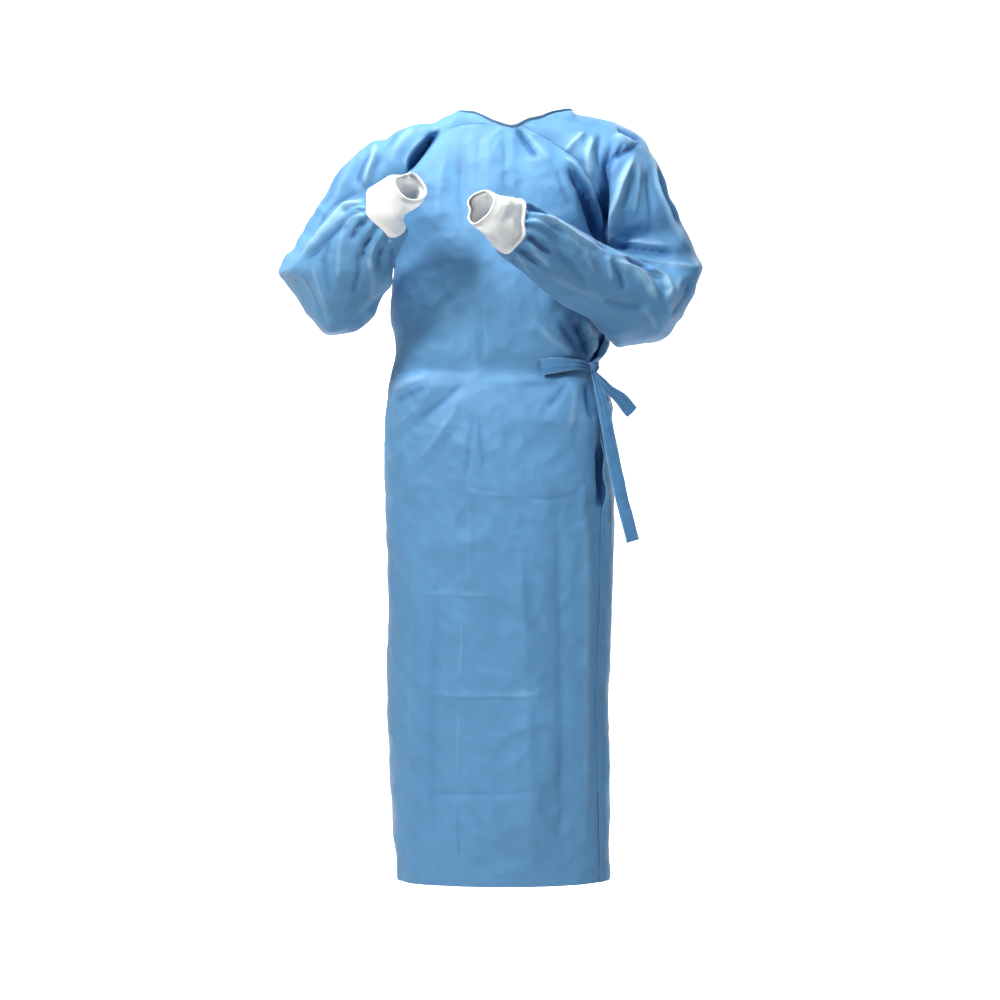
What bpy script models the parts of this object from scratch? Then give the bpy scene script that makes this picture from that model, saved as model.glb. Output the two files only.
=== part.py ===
# A wrap-round surgical gown, hollow, in the pose in which it is worn: both forearms raised before the chest.
# +Z is up and the front faces -Y, so the wearer's right sleeve is at -X. The origin is the middle of the
# neck. Sizes and points are in millimetres, and each piece is made in place round that origin.
import math

import bpy
import numpy as np

MM = 0.001

# Cloth and seams
CLOTH = 1.5
KNIT = 2.0
SEAM_GAP = 0.3

# The neckline, an oval that dips at the centre front and a little at the nape
NECK_CENTRE_X = 10
NECK_HALF_WIDTH = 96
NECK_FRONT_Y = -75
NECK_BACK_Y = 70
NECK_FRONT_DIP = 34
NECK_FRONT_DIP_REACH = 38
NECK_BACK_DIP = 21
NECK_BACK_DIP_REACH = 58
BINDING_HEIGHT = 8
BINDING_THICKNESS = 2.6

# Angles round the neckline, from the centre front towards +X, where the sleeves begin and end
NECK_ANGLES = {"right": (-20, -155), "left": (6, 155)}

# The body's cross-sections from the underarm to the hem
BODY = {
    # name: (z, x_low, x_high, y_front, y_back)
    "underarm": (-250, -192, 168, -128, 120),
    "ribs": (-330, -191, 166, -127, 112),
    "waist": (-405, -190, 154, -119, 106),
    "tie": (-436, -195, 153, -118, 110),
    "hip": (-485, -202, 163, -127, 124),
    "seat": (-600, -206, 172, -131, 140),
    "thigh": (-800, -202, 170, -125, 140),
    "knee": (-990, -203, 165, -118, 132),
    "calf": (-1150, -197, 166, -114, 126),
    "hem": (-1288, -188, 167, -110, 122),
}
SIDE_SEAM_Y = 5
BODY_ROWS = (-250, -285, -320, -355, -385, -410, -436, -465, -500, -545, -600, -670, -760, -860, -970, -1080,
             -1190, -1288)
FRONT_SQUARENESS = 0.86
BACK_SQUARENESS = 0.9

# How round the front and the back are across, by height: the larger, the more they are drawn to a ridge
ROUNDNESS = {"neck": (-40, 2), "chest": (-150, 1.5), "underarm": (-250, 1.2), "ribs": (-330, 0.9),
             "waist": (-410, 0.8)}

# The depth of the centre front and the centre back above the underarm, by height
CHEST_DEPTH = {"neck": (-42, -75), "collarbone": (-95, -103), "breastbone": (-160, -121),
               "underarm": (-250, -128)}
NAPE_DEPTH = {"neck": (-29, 70), "shoulder_blade": (-100, 102), "mid_back": (-170, 116),
              "underarm": (-250, 120)}

# Each sleeve's cap between the neck and the underarm: a share of the way, and points on its raglan seams and
# its ridge
CAPS = {
    # (share, front_seam, ridge, back_seam, swing, openness)
    "right": (
        (0.20, (-90, -66, -36), (-160, 5, -29), (-80, 80, -60), 0, 0.9),
        (0.40, (-143, -80, -66), (-226, 5, -58), (-120, 94, -105), 5, 0.62),
        (0.60, (-176, -80, -118), (-276, 2, -94), (-160, 86, -152), 22, 0.5),
        (0.80, (-190, -50, -190), (-312, -3, -146), (-185, 54, -204), 42, 0.42),
    ),
    "left": (
        (0.20, (60, -82, -56), (160, 3, -14), (92, 80, -60), 0, 0.9),
        (0.40, (106, -94, -86), (218, 3, -40), (128, 94, -105), 5, 0.62),
        (0.60, (140, -96, -135), (246, 2, -84), (154, 90, -155), 22, 0.45),
        (0.80, (157, -60, -200), (275, -6, -148), (165, 58, -208), 44, 0.36),
    ),
}
CAP_ROWS = 7
UNDERARM_OPENNESS = 0.3

# Each arm below the underarm. A ring is crossed by the line from the crook of the elbow to its point, its
# width, and by a line at right angles to the bend, its depth. Place 0 to 1 is the upper arm, 1 to 2 the
# bend, and 2 to 3 the forearm.
ARMS = {
    "right": {
        "underarm": (-192, 4, -250),
        "upper_direction": (-0.52, -0.04, -0.854),
        "fore_direction": (0.50, -0.68, 0.53),
        "seam_turn": 0,
        "upper_length": 36,
        "fore_length": 165,
        "crook_radius": 9,
        "cuff_direction": (0.62, -0.62, 0.48),
        "cuff": (68, 44, 31),  # length, half width at the sleeve, half width at the wrist
        "sections": (  # (place, width, depth)
            (0.0, 128, 164),
            (1.0, 120, 172),
            (1.5, 116, 172),
            (2.0, 128, 160),
            (2.5, 114, 124),
            (3.0, 88, 88),
        ),
    },
    "left": {
        "underarm": (168, 4, -250),
        "upper_direction": (0.15, -0.28, -0.95),
        "fore_direction": (-0.637, -0.70, 0.30),
        "seam_turn": 38,
        "upper_length": 40,
        "fore_length": 300,
        "crook_radius": 8,
        "cuff_direction": (-0.62, -0.72, 0.32),
        "cuff": (76, 42, 29),  # length, half width at the sleeve, half width at the wrist
        "sections": (  # (place, width, depth)
            (0.0, 142, 144),
            (1.0, 138, 146),
            (1.5, 128, 148),
            (2.0, 122, 144),
            (2.5, 106, 116),
            (3.0, 84, 84),
        ),
    },
}
SLEEVE_COLUMNS = 28
ARM_PLACES = (0.5, 1.0, 1.14, 1.28, 1.42, 1.56, 1.7, 1.85, 2.0, 2.17, 2.35, 2.52, 2.68, 2.8, 2.9, 3.0)

# The gathers where a sleeve is sewn to its cuff
GATHER_START = 2.62
GATHER_HEIGHT = 3.4

# The knit cuffs, which narrow towards the wrist
CUFF_SIDES = 24
CUFF_ROWS = 5

# The back wraps to the wearer's left. Positions run 0 to 1 across the back from the wearer's right, then
# 1 to 2 round the front from the wearer's left.
FLAP_EDGE = {"neck": (0, 0.84), "blade": (-90, 0.8), "mid_back": (-170, 0.81), "underarm": (-250, 0.87),
             "ribs": (-330, 0.98), "waist": (-400, 1.09), "knot": (-436, 1.13), "hip": (-500, 1.15),
             "seat": (-600, 1.158), "hem": (-1288, 1.155)}
UNDERFLAP_EDGE = {"neck": (0, 0.2), "blade": (-90, 0.22), "underarm": (-250, 0.25), "hem": (-1288, 0.28)}
FLAP_LIFT = 4.2
FLAP_LIFT_FROM = 0.03
FLAP_LIFT_TO = 0.2
FRONT_COLUMNS = 22
FLAP_COLUMNS = 26
UNDERFLAP_COLUMNS = 12

# Folds: soft ridges and troughs between two points, with their width and their height, troughs below zero
FOLDS = (
    # (start, end, width, height)
    # Chest, and the creases down the raglan seams
    ((-112, -88, -44), (-168, -88, -108), 30, -7),
    ((-168, -88, -108), (-184, -80, -170), 34, -6),
    ((14, -88, -42), (42, -104, -84), 28, -6),
    ((70, -98, -66), (128, -98, -118), 32, -7),
    ((128, -98, -118), (150, -86, -205), 34, -8),
    ((98, -84, -58), (152, -74, -104), 34, 6),
    ((152, -74, -104), (170, -64, -178), 34, 7),
    ((-48, -108, -62), (-14, -124, -165), 44, 4),
    ((-86, -108, -84), (-62, -124, -190), 48, -4),
    ((22, -110, -80), (20, -128, -190), 40, -4),
    ((-130, -110, -190), (-110, -122, -330), 60, -5),
    ((60, -118, -250), (80, -118, -370), 56, 5),
    # The front and the sleeve both give way where the wearer's left elbow is near
    ((96, -110, -345), (166, -40, -290), 120, -13),
    # The wearer's left sleeve, its upper arm and the bend
    ((144, -60, -58), (156, -76, -200), 30, -7),
    ((192, -50, -66), (162, -64, -132), 32, 6),
    ((214, -40, -80), (214, -60, -170), 34, -5),
    ((248, -30, -84), (272, -40, -150), 30, 5),
    ((272, -40, -150), (300, -40, -220), 30, 5),
    ((164, -104, -214), (292, -60, -238), 28, 6),
    ((205, -92, -226), (242, -84, -230), 28, -7),
    ((178, -118, -228), (224, -120, -258), 30, 6),
    ((224, -120, -258), (248, -116, -292), 30, 6),
    ((226, -100, -240), (264, -92, -272), 28, -7),
    ((120, -170, -220), (172, -140, -268), 34, -5),
    ((80, -230, -262), (180, -150, -330), 40, 4),
    # The wearer's right sleeve, its shoulder, its bend and the forearm's upper side
    ((-222, -50, -60), (-244, -62, -128), 32, 6),
    ((-262, -30, -84), (-270, -50, -150), 34, -5),
    ((-352, -60, -252), (-278, -110, -178), 32, 6),
    ((-278, -110, -178), (-240, -160, -148), 32, 5),
    ((-342, -40, -232), (-262, -70, -158), 30, -7),
    ((-330, -70, -300), (-270, -120, -240), 40, -5),
    ((-300, -60, -340), (-230, -120, -290), 40, 4),
    # The waist, drawn in towards the knot
    ((-190, -80, -438), (-52, -118, -430), 34, -5),
    ((-52, -118, -430), (130, -80, -434), 34, -6),
    ((126, -72, -424), (66, -112, -372), 30, 5),
    ((122, -76, -440), (72, -114, -520), 32, 5),
    ((140, -64, -446), (128, -80, -560), 30, 4),
    ((100, -94, -410), (20, -122, -388), 34, 4),
    # The skirt's diagonal folds below the wearer's right of the waist
    ((-128, -112, -446), (-192, -84, -486), 34, 5),
    ((-66, -122, -456), (-190, -92, -575), 40, -4),
    ((-88, -124, -500), (-190, -92, -620), 44, 4),
    # The back: shoulder blades, the waist and the skirt's hanging folds
    ((-60, 104, -90), (-120, 112, -190), 56, -6),
    ((60, 104, -90), (110, 112, -190), 56, -6),
    ((0, 110, -120), (-10, 120, -300), 60, 5),
    ((-146, 88, -275), (-100, 110, -340), 46, -5),
    ((128, 88, -275), (86, 108, -340), 46, -5),
    ((-180, 50, -420), (0, 108, -426), 44, -6),
    ((0, 108, -426), (146, 50, -430), 44, -6),
    ((130, 70, -440), (30, 120, -540), 46, 6),
    ((-150, 70, -440), (-60, 122, -560), 46, 6),
    ((-70, 140, -560), (-90, 130, -1288), 90, 7),
    ((10, 142, -620), (14, 130, -1288), 90, -7),
    ((92, 134, -560), (100, 118, -1288), 84, 7),
    ((-160, 90, -600), (-166, 80, -1288), 80, -6),
    ((-120, -108, -900), (-128, -100, -1288), 90, -5),
    ((40, -124, -1000), (44, -112, -1288), 100, 4),
)
FOLD_DEPTH_WEIGHT = 0.4

# The waist tie: the knot, and the ribbons' courses from the knot. One end lies on the gown and two hang.
KNOT_AT = (138, -432)
KNOT_HALF = (12, 9, 12)
KNOT_OFF = 12.5
TIE_THICKNESS = 1.3
# (x, z, off, half_width)
TIE_END = ((124, -430, 13, 6), (110, -430, 12.5, 8), (90, -431, 11, 11), (72, -432, 9, 13.5),
           (54, -433, 7, 15.5))
# (x, y, z, half_width)
TIE_SHORT = ((153, -76, -438, 4.5), (165, -74, -452, 8), (180, -69, -471, 10.5), (196, -62, -487, 12),
             (207, -57, -500, 12))
TIE_LONG = ((144, -80, -448, 4.5), (150, -82, -470, 8), (158, -82, -505, 10), (166, -78, -545, 11),
            (175, -73, -590, 11.5), (186, -68, -640, 11.5), (197, -64, -685, 11.5), (207, -61, -722, 11.5))

BLUE = (0.19, 0.41, 0.68, 1)
DEEP_BLUE = (0.13, 0.31, 0.56, 1)
WHITE = (0.86, 0.87, 0.88, 1)


def unit(vector):
    vector = np.asarray(vector, float)
    return vector / np.linalg.norm(vector, axis=-1, keepdims=True)


def smooth_step(x):
    x = np.clip(x, 0, 1)
    return x * x * (3 - 2 * x)


def through(knots, values, places):
    """The values at the given places on a smooth curve through the values at the knots."""
    knots, values = np.asarray(knots, float), np.asarray(values, float)
    if knots[0] > knots[-1]:
        knots, values = knots[::-1], values[::-1]
    slopes = np.gradient(values, knots, axis=0)
    places = np.clip(np.atleast_1d(places).astype(float), knots[0], knots[-1])
    cell = np.clip(np.searchsorted(knots, places) - 1, 0, len(knots) - 2)
    span = knots[cell + 1] - knots[cell]
    t = (places - knots[cell]) / span
    if values.ndim > 1:
        t, span = t[:, None], span[:, None]
    start, end = values[cell], values[cell + 1]
    return (start * (1 + 2 * t) * (1 - t) ** 2 + end * t * t * (3 - 2 * t)
            + span * (slopes[cell] * t * (1 - t) ** 2 - slopes[cell + 1] * t * t * (1 - t)))


def along(table, place):
    """The second column of a table of pairs, at places of the first."""
    rows = list(table.values())
    return through([row[0] for row in rows], [row[1] for row in rows], place)


def neckline(angle):
    """Points of the cloth's upper edge at angles in degrees from the centre front, towards +X."""
    turn = np.radians(np.atleast_1d(angle).astype(float))
    front = np.cos(turn) > 0
    x = NECK_CENTRE_X + NECK_HALF_WIDTH * np.sin(turn)
    y = np.where(front, NECK_FRONT_Y, -NECK_BACK_Y) * np.cos(turn)
    reach = np.where(front, NECK_FRONT_DIP_REACH, NECK_BACK_DIP_REACH)
    dip = np.where(front, NECK_FRONT_DIP, NECK_BACK_DIP) * np.exp(-((x / reach) ** 2))
    return np.stack([x, y, -BINDING_HEIGHT - dip * np.sqrt(abs(np.cos(turn)))], axis=-1)


def arc_through(front_edge, top, back_edge, swing, openness, turns):
    """A row of cloth from its front edge over the top to its back edge. Openness is 1 for a plain arch, and
    0 for a closed ring, an ellipse whose half axis towards the back is the swing."""
    turns = turns[:, None]
    middle, spread = (front_edge + back_edge) / 2, (back_edge - front_edge) / 2
    rise = top - middle
    arch = openness * rise * np.cos(turns / 2)
    ring = (1 - openness) * rise * (1 + np.cos(turns)) / 2
    return middle + arch + ring + swing * np.sin(turns) + spread * np.sin(turns / 2)


def arm_frame(arm):
    """Unit vectors of the bend: along the upper arm, from the crook to the elbow, and out to the side."""
    upper, fore = unit(arm["upper_direction"]), unit(arm["fore_direction"])
    elbow = unit(-(fore - upper * (fore @ upper)))
    side = np.cross(elbow, upper)
    if side[0] * arm["underarm"][0] < 0:
        side = -side
    return upper, elbow, side, math.acos(upper @ fore)


def arm_ring(arm, place):
    """Centre, heading and the two half axes of the sleeve's ring at a place between 0 and 3."""
    upper, elbow, side, bend = arm_frame(arm)
    places = [row[0] for row in arm["sections"]]
    width, depth = through(places, [row[1:] for row in arm["sections"]], place)[0]
    seam = math.radians(arm["seam_turn"])
    first_width, first_depth = arm["sections"][0][1:]
    first = (np.array(arm["underarm"], float) + math.cos(seam) * first_depth / 2 * side
             + math.sin(seam) * first_width / 2 * elbow - first_width / 2 * elbow)
    pivot = first + upper * arm["upper_length"] - elbow * arm["crook_radius"]
    turn = bend * min(max(place - 1, 0), 1)
    heading = math.cos(turn) * upper - math.sin(turn) * elbow
    outward = math.cos(turn) * elbow + math.sin(turn) * upper
    crook = pivot + outward * arm["crook_radius"]
    if place < 1:
        crook = crook - upper * arm["upper_length"] * (1 - place)
    if place > 2:
        crook = crook + heading * arm["fore_length"] * (place - 2)
    return crook + outward * width / 2, heading, side * depth / 2, outward * width / 2


def ring_rails(arm, place):
    """What arc_through needs for a closed ring whose edges meet at the underarm seam."""
    centre, _, side, outward = arm_ring(arm, place)
    seam = math.radians(arm["seam_turn"])
    top = math.cos(seam) * side + math.sin(seam) * outward
    back = -math.sin(seam) * side + math.cos(seam) * outward
    openness = UNDERARM_OPENNESS * max(0, 1 - place)
    return np.array([centre - top, centre + top, centre - top, back, np.full(3, openness)])


def sleeve_rows(name):
    """The sleeve's grid of points from the neck to the cuff, and where along it each row lies."""
    arm, front_angle, back_angle = ARMS[name], *NECK_ANGLES[name]
    angles = np.linspace(front_angle, back_angle, SLEEVE_COLUMNS + 1)
    first, top, last = neckline((front_angle, (front_angle + back_angle) / 2, back_angle))
    knots, rails = [-1.0], [np.array([first, top, last, np.zeros(3), np.ones(3)])]
    for share, front_seam, ridge, back_seam, swing, openness in CAPS[name]:
        knots.append(share - 1)
        rails.append(np.array([front_seam, ridge, back_seam, (0, swing, 0), [openness] * 3], float))
    for place in (0.0, *ARM_PLACES):
        knots.append(place)
        rails.append(ring_rails(arm, place))
    places = np.concatenate([np.linspace(-1, 0, CAP_ROWS + 1), ARM_PLACES])
    flat = through(knots, np.array(rails).reshape(len(rails), 15), places).reshape(-1, 5, 3)
    turns = np.linspace(-math.pi, math.pi, SLEEVE_COLUMNS + 1)
    grid = np.array([arc_through(*row, turns) for row in flat])
    to_neckline = neckline(angles) - grid[0]
    fade = np.clip(1 - (places + 1) / 0.4, 0, 1) ** 2
    grid += fade[:, None, None] * to_neckline
    for row, place in enumerate(places):
        if place > GATHER_START:
            height = GATHER_HEIGHT * smooth_step((place - GATHER_START) / (3 - GATHER_START))
            zigzag = height * (-1.0) ** np.arange(SLEEVE_COLUMNS + 1)
            grid[row] += unit(grid[row] - arm_ring(arm, place)[0]) * zigzag[:, None]
    return grid


def body_section(height):
    rows = list(BODY.values())
    return through([row[0] for row in rows], [row[1:] for row in rows], height)[0]


def row_between(start, end, middle_y, middle_z, squareness, roundness, columns):
    """A row of cloth from one edge to the other, bulging to the given depth and sagging to the height."""
    turn = np.linspace(-math.pi / 2, math.pi / 2, columns + 1)
    across = np.sign(np.sin(turn)) * abs(np.sin(turn)) ** squareness
    bulge = np.clip(np.cos(turn), 0, 1) ** roundness
    share = ((1 + across) / 2)[:, None]
    row = start * (1 - share) + end * share
    middle = (start + end) / 2
    row[:, 1] += (middle_y - middle[1]) * bulge
    row[:, 2] += (middle_z - middle[2]) * bulge
    return row


def panel_rows(right_edge, left_edge, depths, squareness, front, columns):
    """The grid of the whole front or the whole back, from the neck to the hem, wearer's right to left."""
    neck_z, underarm_z = list(depths.values())[0][0], BODY_ROWS[0]
    rows = []
    for index in range(CAP_ROWS):
        height = neck_z + (underarm_z - neck_z) * index / CAP_ROWS
        depth = along(depths, height)[0]
        roundness = along(ROUNDNESS, height)[0]
        start, end = right_edge[index], left_edge[index]
        rows.append(row_between(start, end, depth, height, squareness, roundness, columns))
    for height in BODY_ROWS:
        x_low, x_high, y_front, y_back = body_section(height)
        start, end = (np.array((x, SIDE_SEAM_Y, height), float) for x in (x_low, x_high))
        depth = y_front if front else y_back
        roundness = max(squareness, along(ROUNDNESS, height)[0])
        rows.append(row_between(start, end, depth, height, squareness, roundness, columns))
    return np.array(rows)


def on_polyline(points, places, positions):
    """Points at the given positions of a polyline whose points have the given places."""
    return np.stack([np.interp(positions, places, points[:, axis]) for axis in range(3)], axis=-1)


def wrap_rows(back, front, first, last, columns):
    """Part of each row that runs across the back and on round the wearer's left side."""
    rows = []
    for index in range(len(back)):
        whole = np.concatenate([back[index], front[index][::-1][1:]])
        behind, before = np.linspace(0, 1, len(back[index])), np.linspace(1, 2, len(front[index]))
        places = np.concatenate([behind, before[1:]])
        rows.append(on_polyline(whole, places, np.linspace(first[index], last[index], columns + 1)))
    return np.array(rows)


def row_heights():
    """The nominal height of each row, from the neck to the hem."""
    return np.concatenate([np.linspace(0, BODY_ROWS[0], CAP_ROWS + 1)[:-1], BODY_ROWS])


def grid_normals(grid):
    down, across = np.gradient(grid, axis=0), np.gradient(grid, axis=1)
    return np.cross(across, down)


def shared_normals(grids):
    """Unit normals that face out of the garment, and that pieces share where they meet at a seam."""
    found, sums = {}, {}
    for name, (grid, inside) in grids.items():
        normals = grid_normals(grid)
        if (normals * (grid - inside)).sum() < 0:
            normals = -normals
        found[name] = normals
        for point, normal in zip(grid.reshape(-1, 3), normals.reshape(-1, 3)):
            key = tuple(np.round(point, 3))
            sums[key] = sums.get(key, 0) + normal
    for name, (grid, _) in grids.items():
        shared = np.array([sums[tuple(np.round(point, 3))] for point in grid.reshape(-1, 3)])
        found[name] = unit(shared).reshape(grid.shape)
    return found


def fold_height(points):
    """How far the folds move the cloth at these points, outwards above zero."""
    height = np.zeros(points.shape[:-1])
    weight = np.array((1, FOLD_DEPTH_WEIGHT, 1))
    points = points * weight
    for start, end, width, most in FOLDS:
        start, end = np.array(start) * weight, np.array(end) * weight
        line = end - start
        share = ((points - start) @ line) / (line @ line)
        nearest = start + np.clip(share, 0, 1)[..., None] * line
        distance = np.linalg.norm(points - nearest, axis=-1)
        ends = smooth_step((1.15 - abs(2 * share - 1)) / 0.5)
        height += most * np.exp(-((distance / (width / 2)) ** 2)) * ends
    return height


def pulled_back(grid, normals, edges):
    """The grid with the named edges drawn back by half of a seam's gap."""
    grid = grid.copy()
    sides = {"first": (slice(None), 0, 1), "last": (slice(None), -1, -2), "top": (0, slice(None), 1),
             "bottom": (-1, slice(None), -2)}
    for edge in edges:
        row, column, inner = sides[edge]
        border = grid[row, column]
        inside = grid[row, inner] if edge in ("first", "last") else grid[inner, column]
        tangent = unit(np.gradient(border, axis=0))
        normal = normals[row, column]
        inward = inside - border
        inward = inward - (inward * tangent).sum(-1, keepdims=True) * tangent
        inward = inward - (inward * normal).sum(-1, keepdims=True) * normal
        grid[row, column] = border + unit(inward) * SEAM_GAP / 2
    return grid


def signed_volume(mesh):
    """Six times the volume, below zero where the faces are turned inwards."""
    mesh.calc_loop_triangles()
    corners = [[mesh.vertices[index].co for index in triangle.vertices] for triangle in mesh.loop_triangles]
    return sum(a.dot(b.cross(c)) for a, b, c in corners)


def solid(name, points, faces, colour, parent):
    """An object of one closed mesh, with its faces turned outwards."""
    mesh = bpy.data.meshes.new(name)
    mesh.from_pydata([tuple(float(c) * MM for c in point) for point in points], [], faces)
    if signed_volume(mesh) < 0:
        mesh.flip_normals()
    mesh.shade_smooth()
    mesh.set_sharp_from_angle(angle=math.radians(50))
    mesh.materials.append(material(colour))
    thing = bpy.data.objects.new(name, mesh)
    bpy.context.scene.collection.objects.link(thing)
    thing.parent = parent
    return thing


def material(colour):
    name, tone, roughness = colour
    made = bpy.data.materials.get(name)
    if made is None:
        made = bpy.data.materials.new(name)
        made.use_nodes = True
        shader = made.node_tree.nodes["Principled BSDF"]
        shader.inputs["Base Color"].default_value = tone
        shader.inputs["Roughness"].default_value = roughness
    return made


def sheet_faces(rows, columns):
    """Quads of a wall whose outer grid comes first and whose inner grid follows, closed round its rim."""
    faces = []
    inner = rows * columns
    for row in range(rows - 1):
        for column in range(columns - 1):
            a = row * columns + column
            quad = (a, a + 1, a + columns + 1, a + columns)
            faces += [quad, tuple(inner + corner for corner in reversed(quad))]
    rim = [column for column in range(columns)]
    rim += [row * columns + columns - 1 for row in range(1, rows)]
    rim += [(rows - 1) * columns + column for column in range(columns - 2, -1, -1)]
    rim += [row * columns for row in range(rows - 2, 0, -1)]
    for a, b in zip(rim, rim[1:] + rim[:1]):
        faces.append((b, a, inner + a, inner + b))
    return faces


def tube_faces(rows, columns):
    """Quads of a tube's wall whose outer rings come first and whose inner rings follow."""
    faces = []
    inner = rows * columns
    for column in range(columns):
        beside = (column + 1) % columns
        for row in range(rows - 1):
            a, b = row * columns + column, row * columns + beside
            quad = (a, b, b + columns, a + columns)
            faces += [quad, tuple(inner + corner for corner in reversed(quad))]
        last = (rows - 1) * columns
        faces.append((beside, column, inner + column, inner + beside))
        faces.append((last + column, last + beside, inner + last + beside, inner + last + column))
    return faces


def wall(name, grid, normals, edges, parent):
    """A panel of cloth whose outer face is the grid."""
    grid = pulled_back(grid, normals, edges)
    points = np.concatenate([grid.reshape(-1, 3), (grid - normals * CLOTH).reshape(-1, 3)])
    return solid(name, points, sheet_faces(*grid.shape[:2]), ("gown_cloth", BLUE, 0.75), parent)


def cuff(name, arm, parent):
    """A knit cuff that goes on from the sleeve's last ring and narrows towards the wrist."""
    centre, heading, side, outward = arm_ring(arm, 3)
    aim = unit(arm["cuff_direction"])
    length, base_half, wrist_half = arm["cuff"]
    side, outward = unit(side), unit(outward)
    turns = np.linspace(0, 2 * math.pi, CUFF_SIDES, endpoint=False)[:, None]
    outer, inner = [], []
    for share in np.linspace(0, 1, CUFF_ROWS):
        direction = unit(heading * (1 - share) + aim * share)
        across = unit(side - direction * (side @ direction))
        over = np.cross(direction, across)
        middle = centre + heading * SEAM_GAP + (heading * (1 - share / 2) + aim * share / 2) * length * share
        half = base_half + (wrist_half - base_half) * share ** 0.8
        ring = across * np.cos(turns) + over * np.sin(turns)
        outer.append(middle + ring * half)
        inner.append(middle + ring * (half - KNIT))
    points = np.concatenate([np.concatenate(outer), np.concatenate(inner)])
    return solid(name, points, tube_faces(CUFF_ROWS, CUFF_SIDES), ("knit_cuff", WHITE, 0.9), parent)


def binding(edge, parent):
    """The strip sewn on over the neck's edge, standing on the cloth's upper edge."""
    tangent = unit(np.gradient(edge, axis=0))
    upright = np.array((0, 0, 1.0))
    rise = unit(upright - (tangent @ upright)[:, None] * tangent)
    outward = np.cross(tangent, rise)
    if (outward * (edge - edge.mean(axis=0))).sum() < 0:
        outward = -outward
    proud = (BINDING_THICKNESS - CLOTH) / 2
    outer, inner = edge + outward * proud, edge - outward * (BINDING_THICKNESS - proud)
    low, high = rise * SEAM_GAP, rise * BINDING_HEIGHT
    grid = np.array([outer + high, outer + low])
    back = np.array([inner + high, inner + low])
    points = np.concatenate([grid.reshape(-1, 3), back.reshape(-1, 3)])
    return solid("neck_binding", points, sheet_faces(2, len(edge)), ("binding_tape", DEEP_BLUE, 0.7), parent)


def front_point(x, z, off):
    """The point that stands off the front's surface by a distance, below the underarm."""
    x_low, x_high, y_front, _ = body_section(z)
    places = np.array((x - 0.5, x, x + 0.5))
    across = (2 * places - x_low - x_high) / (x_high - x_low)
    bulge = np.sqrt(1 - abs(across) ** (2 / FRONT_SQUARENESS)) ** FRONT_SQUARENESS
    depth = SIDE_SEAM_Y + (y_front - SIDE_SEAM_Y) * bulge
    normal = unit(np.array((depth[2] - depth[0], -1.0, 0)))
    base = np.array((x, depth[1], z))
    return base + normal * (off + fold_height(base)), normal


def ribbon(name, points, half_widths, normals, parent):
    """A ribbon along a course of points, as wide as given and thinnest in the direction of the normals."""
    points, normals = np.array(points, float), unit(normals)
    tangent = unit(np.gradient(points, axis=0))
    sideways = unit(np.cross(tangent, normals))
    facing = np.cross(sideways, tangent)
    reach = sideways * np.array(half_widths)[:, None]
    bow = facing * 1.2
    grid = np.stack([points - reach, points + bow, points + reach], axis=1)
    deep = np.stack([facing] * 3, axis=1) * TIE_THICKNESS
    corners = np.concatenate([grid.reshape(-1, 3), (grid - deep).reshape(-1, 3)])
    return solid(name, corners, sheet_faces(len(points), 3), ("gown_cloth", BLUE, 0.75), parent)


def leaving(knot, centre, course):
    """The course with its first point moved to where it leaves the knot."""
    course = np.array(course, float)
    aim = unit(course[1] - centre)
    course[0] = centre + aim * (((np.array(knot) - centre) @ aim).max() + 2 * SEAM_GAP)
    return course


def knot(centre, normal, parent):
    """A round knot with strands that turn about it. Returns its points."""
    across = unit(np.cross((0, 0, 1), normal))
    rings, sides = 9, 16
    points = [centre + np.array((0, 0, KNOT_HALF[2]))]
    for ring in range(1, rings):
        tilt = math.pi * ring / rings
        for side in range(sides):
            turn = 2 * math.pi * side / sides
            strand = 1 + 0.1 * math.cos(3 * turn + 4 * tilt)
            points.append(centre + across * KNOT_HALF[0] * strand * math.sin(tilt) * math.cos(turn)
                          + normal * KNOT_HALF[1] * strand * math.sin(tilt) * math.sin(turn)
                          + np.array((0, 0, KNOT_HALF[2] * math.cos(tilt))))
    points.append(centre - np.array((0, 0, KNOT_HALF[2])))
    faces = [(0, 1 + side, 1 + (side + 1) % sides) for side in range(sides)]
    for ring in range(rings - 2):
        for side in range(sides):
            a, b = 1 + ring * sides + side, 1 + ring * sides + (side + 1) % sides
            faces.append((a, a + sides, b + sides, b))
    last = 1 + (rings - 2) * sides
    faces += [(len(points) - 1, last + (side + 1) % sides, last + side) for side in range(sides)]
    solid("tie_knot", points, faces, ("gown_cloth", BLUE, 0.75), parent)
    return points


def tie(parent):
    """The knot with its three ends."""
    centre, normal = front_point(*KNOT_AT, KNOT_OFF)
    points = knot(centre, normal, parent)
    on_gown = [front_point(x, z, off) for x, z, off, _ in TIE_END]
    course = leaving(points, centre, [point for point, _ in on_gown])
    ribbon("tie_end", course, [row[3] for row in TIE_END], [normal for _, normal in on_gown], parent)
    for name, rows in (("tie_short", TIE_SHORT), ("tie_long", TIE_LONG)):
        course = leaving(points, centre, [row[:3] for row in rows])
        ribbon(name, course, [row[3] for row in rows], [(0.35, -0.94, 0)] * len(rows), parent)


def body_middle(grid):
    """For each row of a body panel a point inside the garment."""
    middle = grid.mean(axis=1, keepdims=True)
    middle[..., 1] = 0
    return middle


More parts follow.
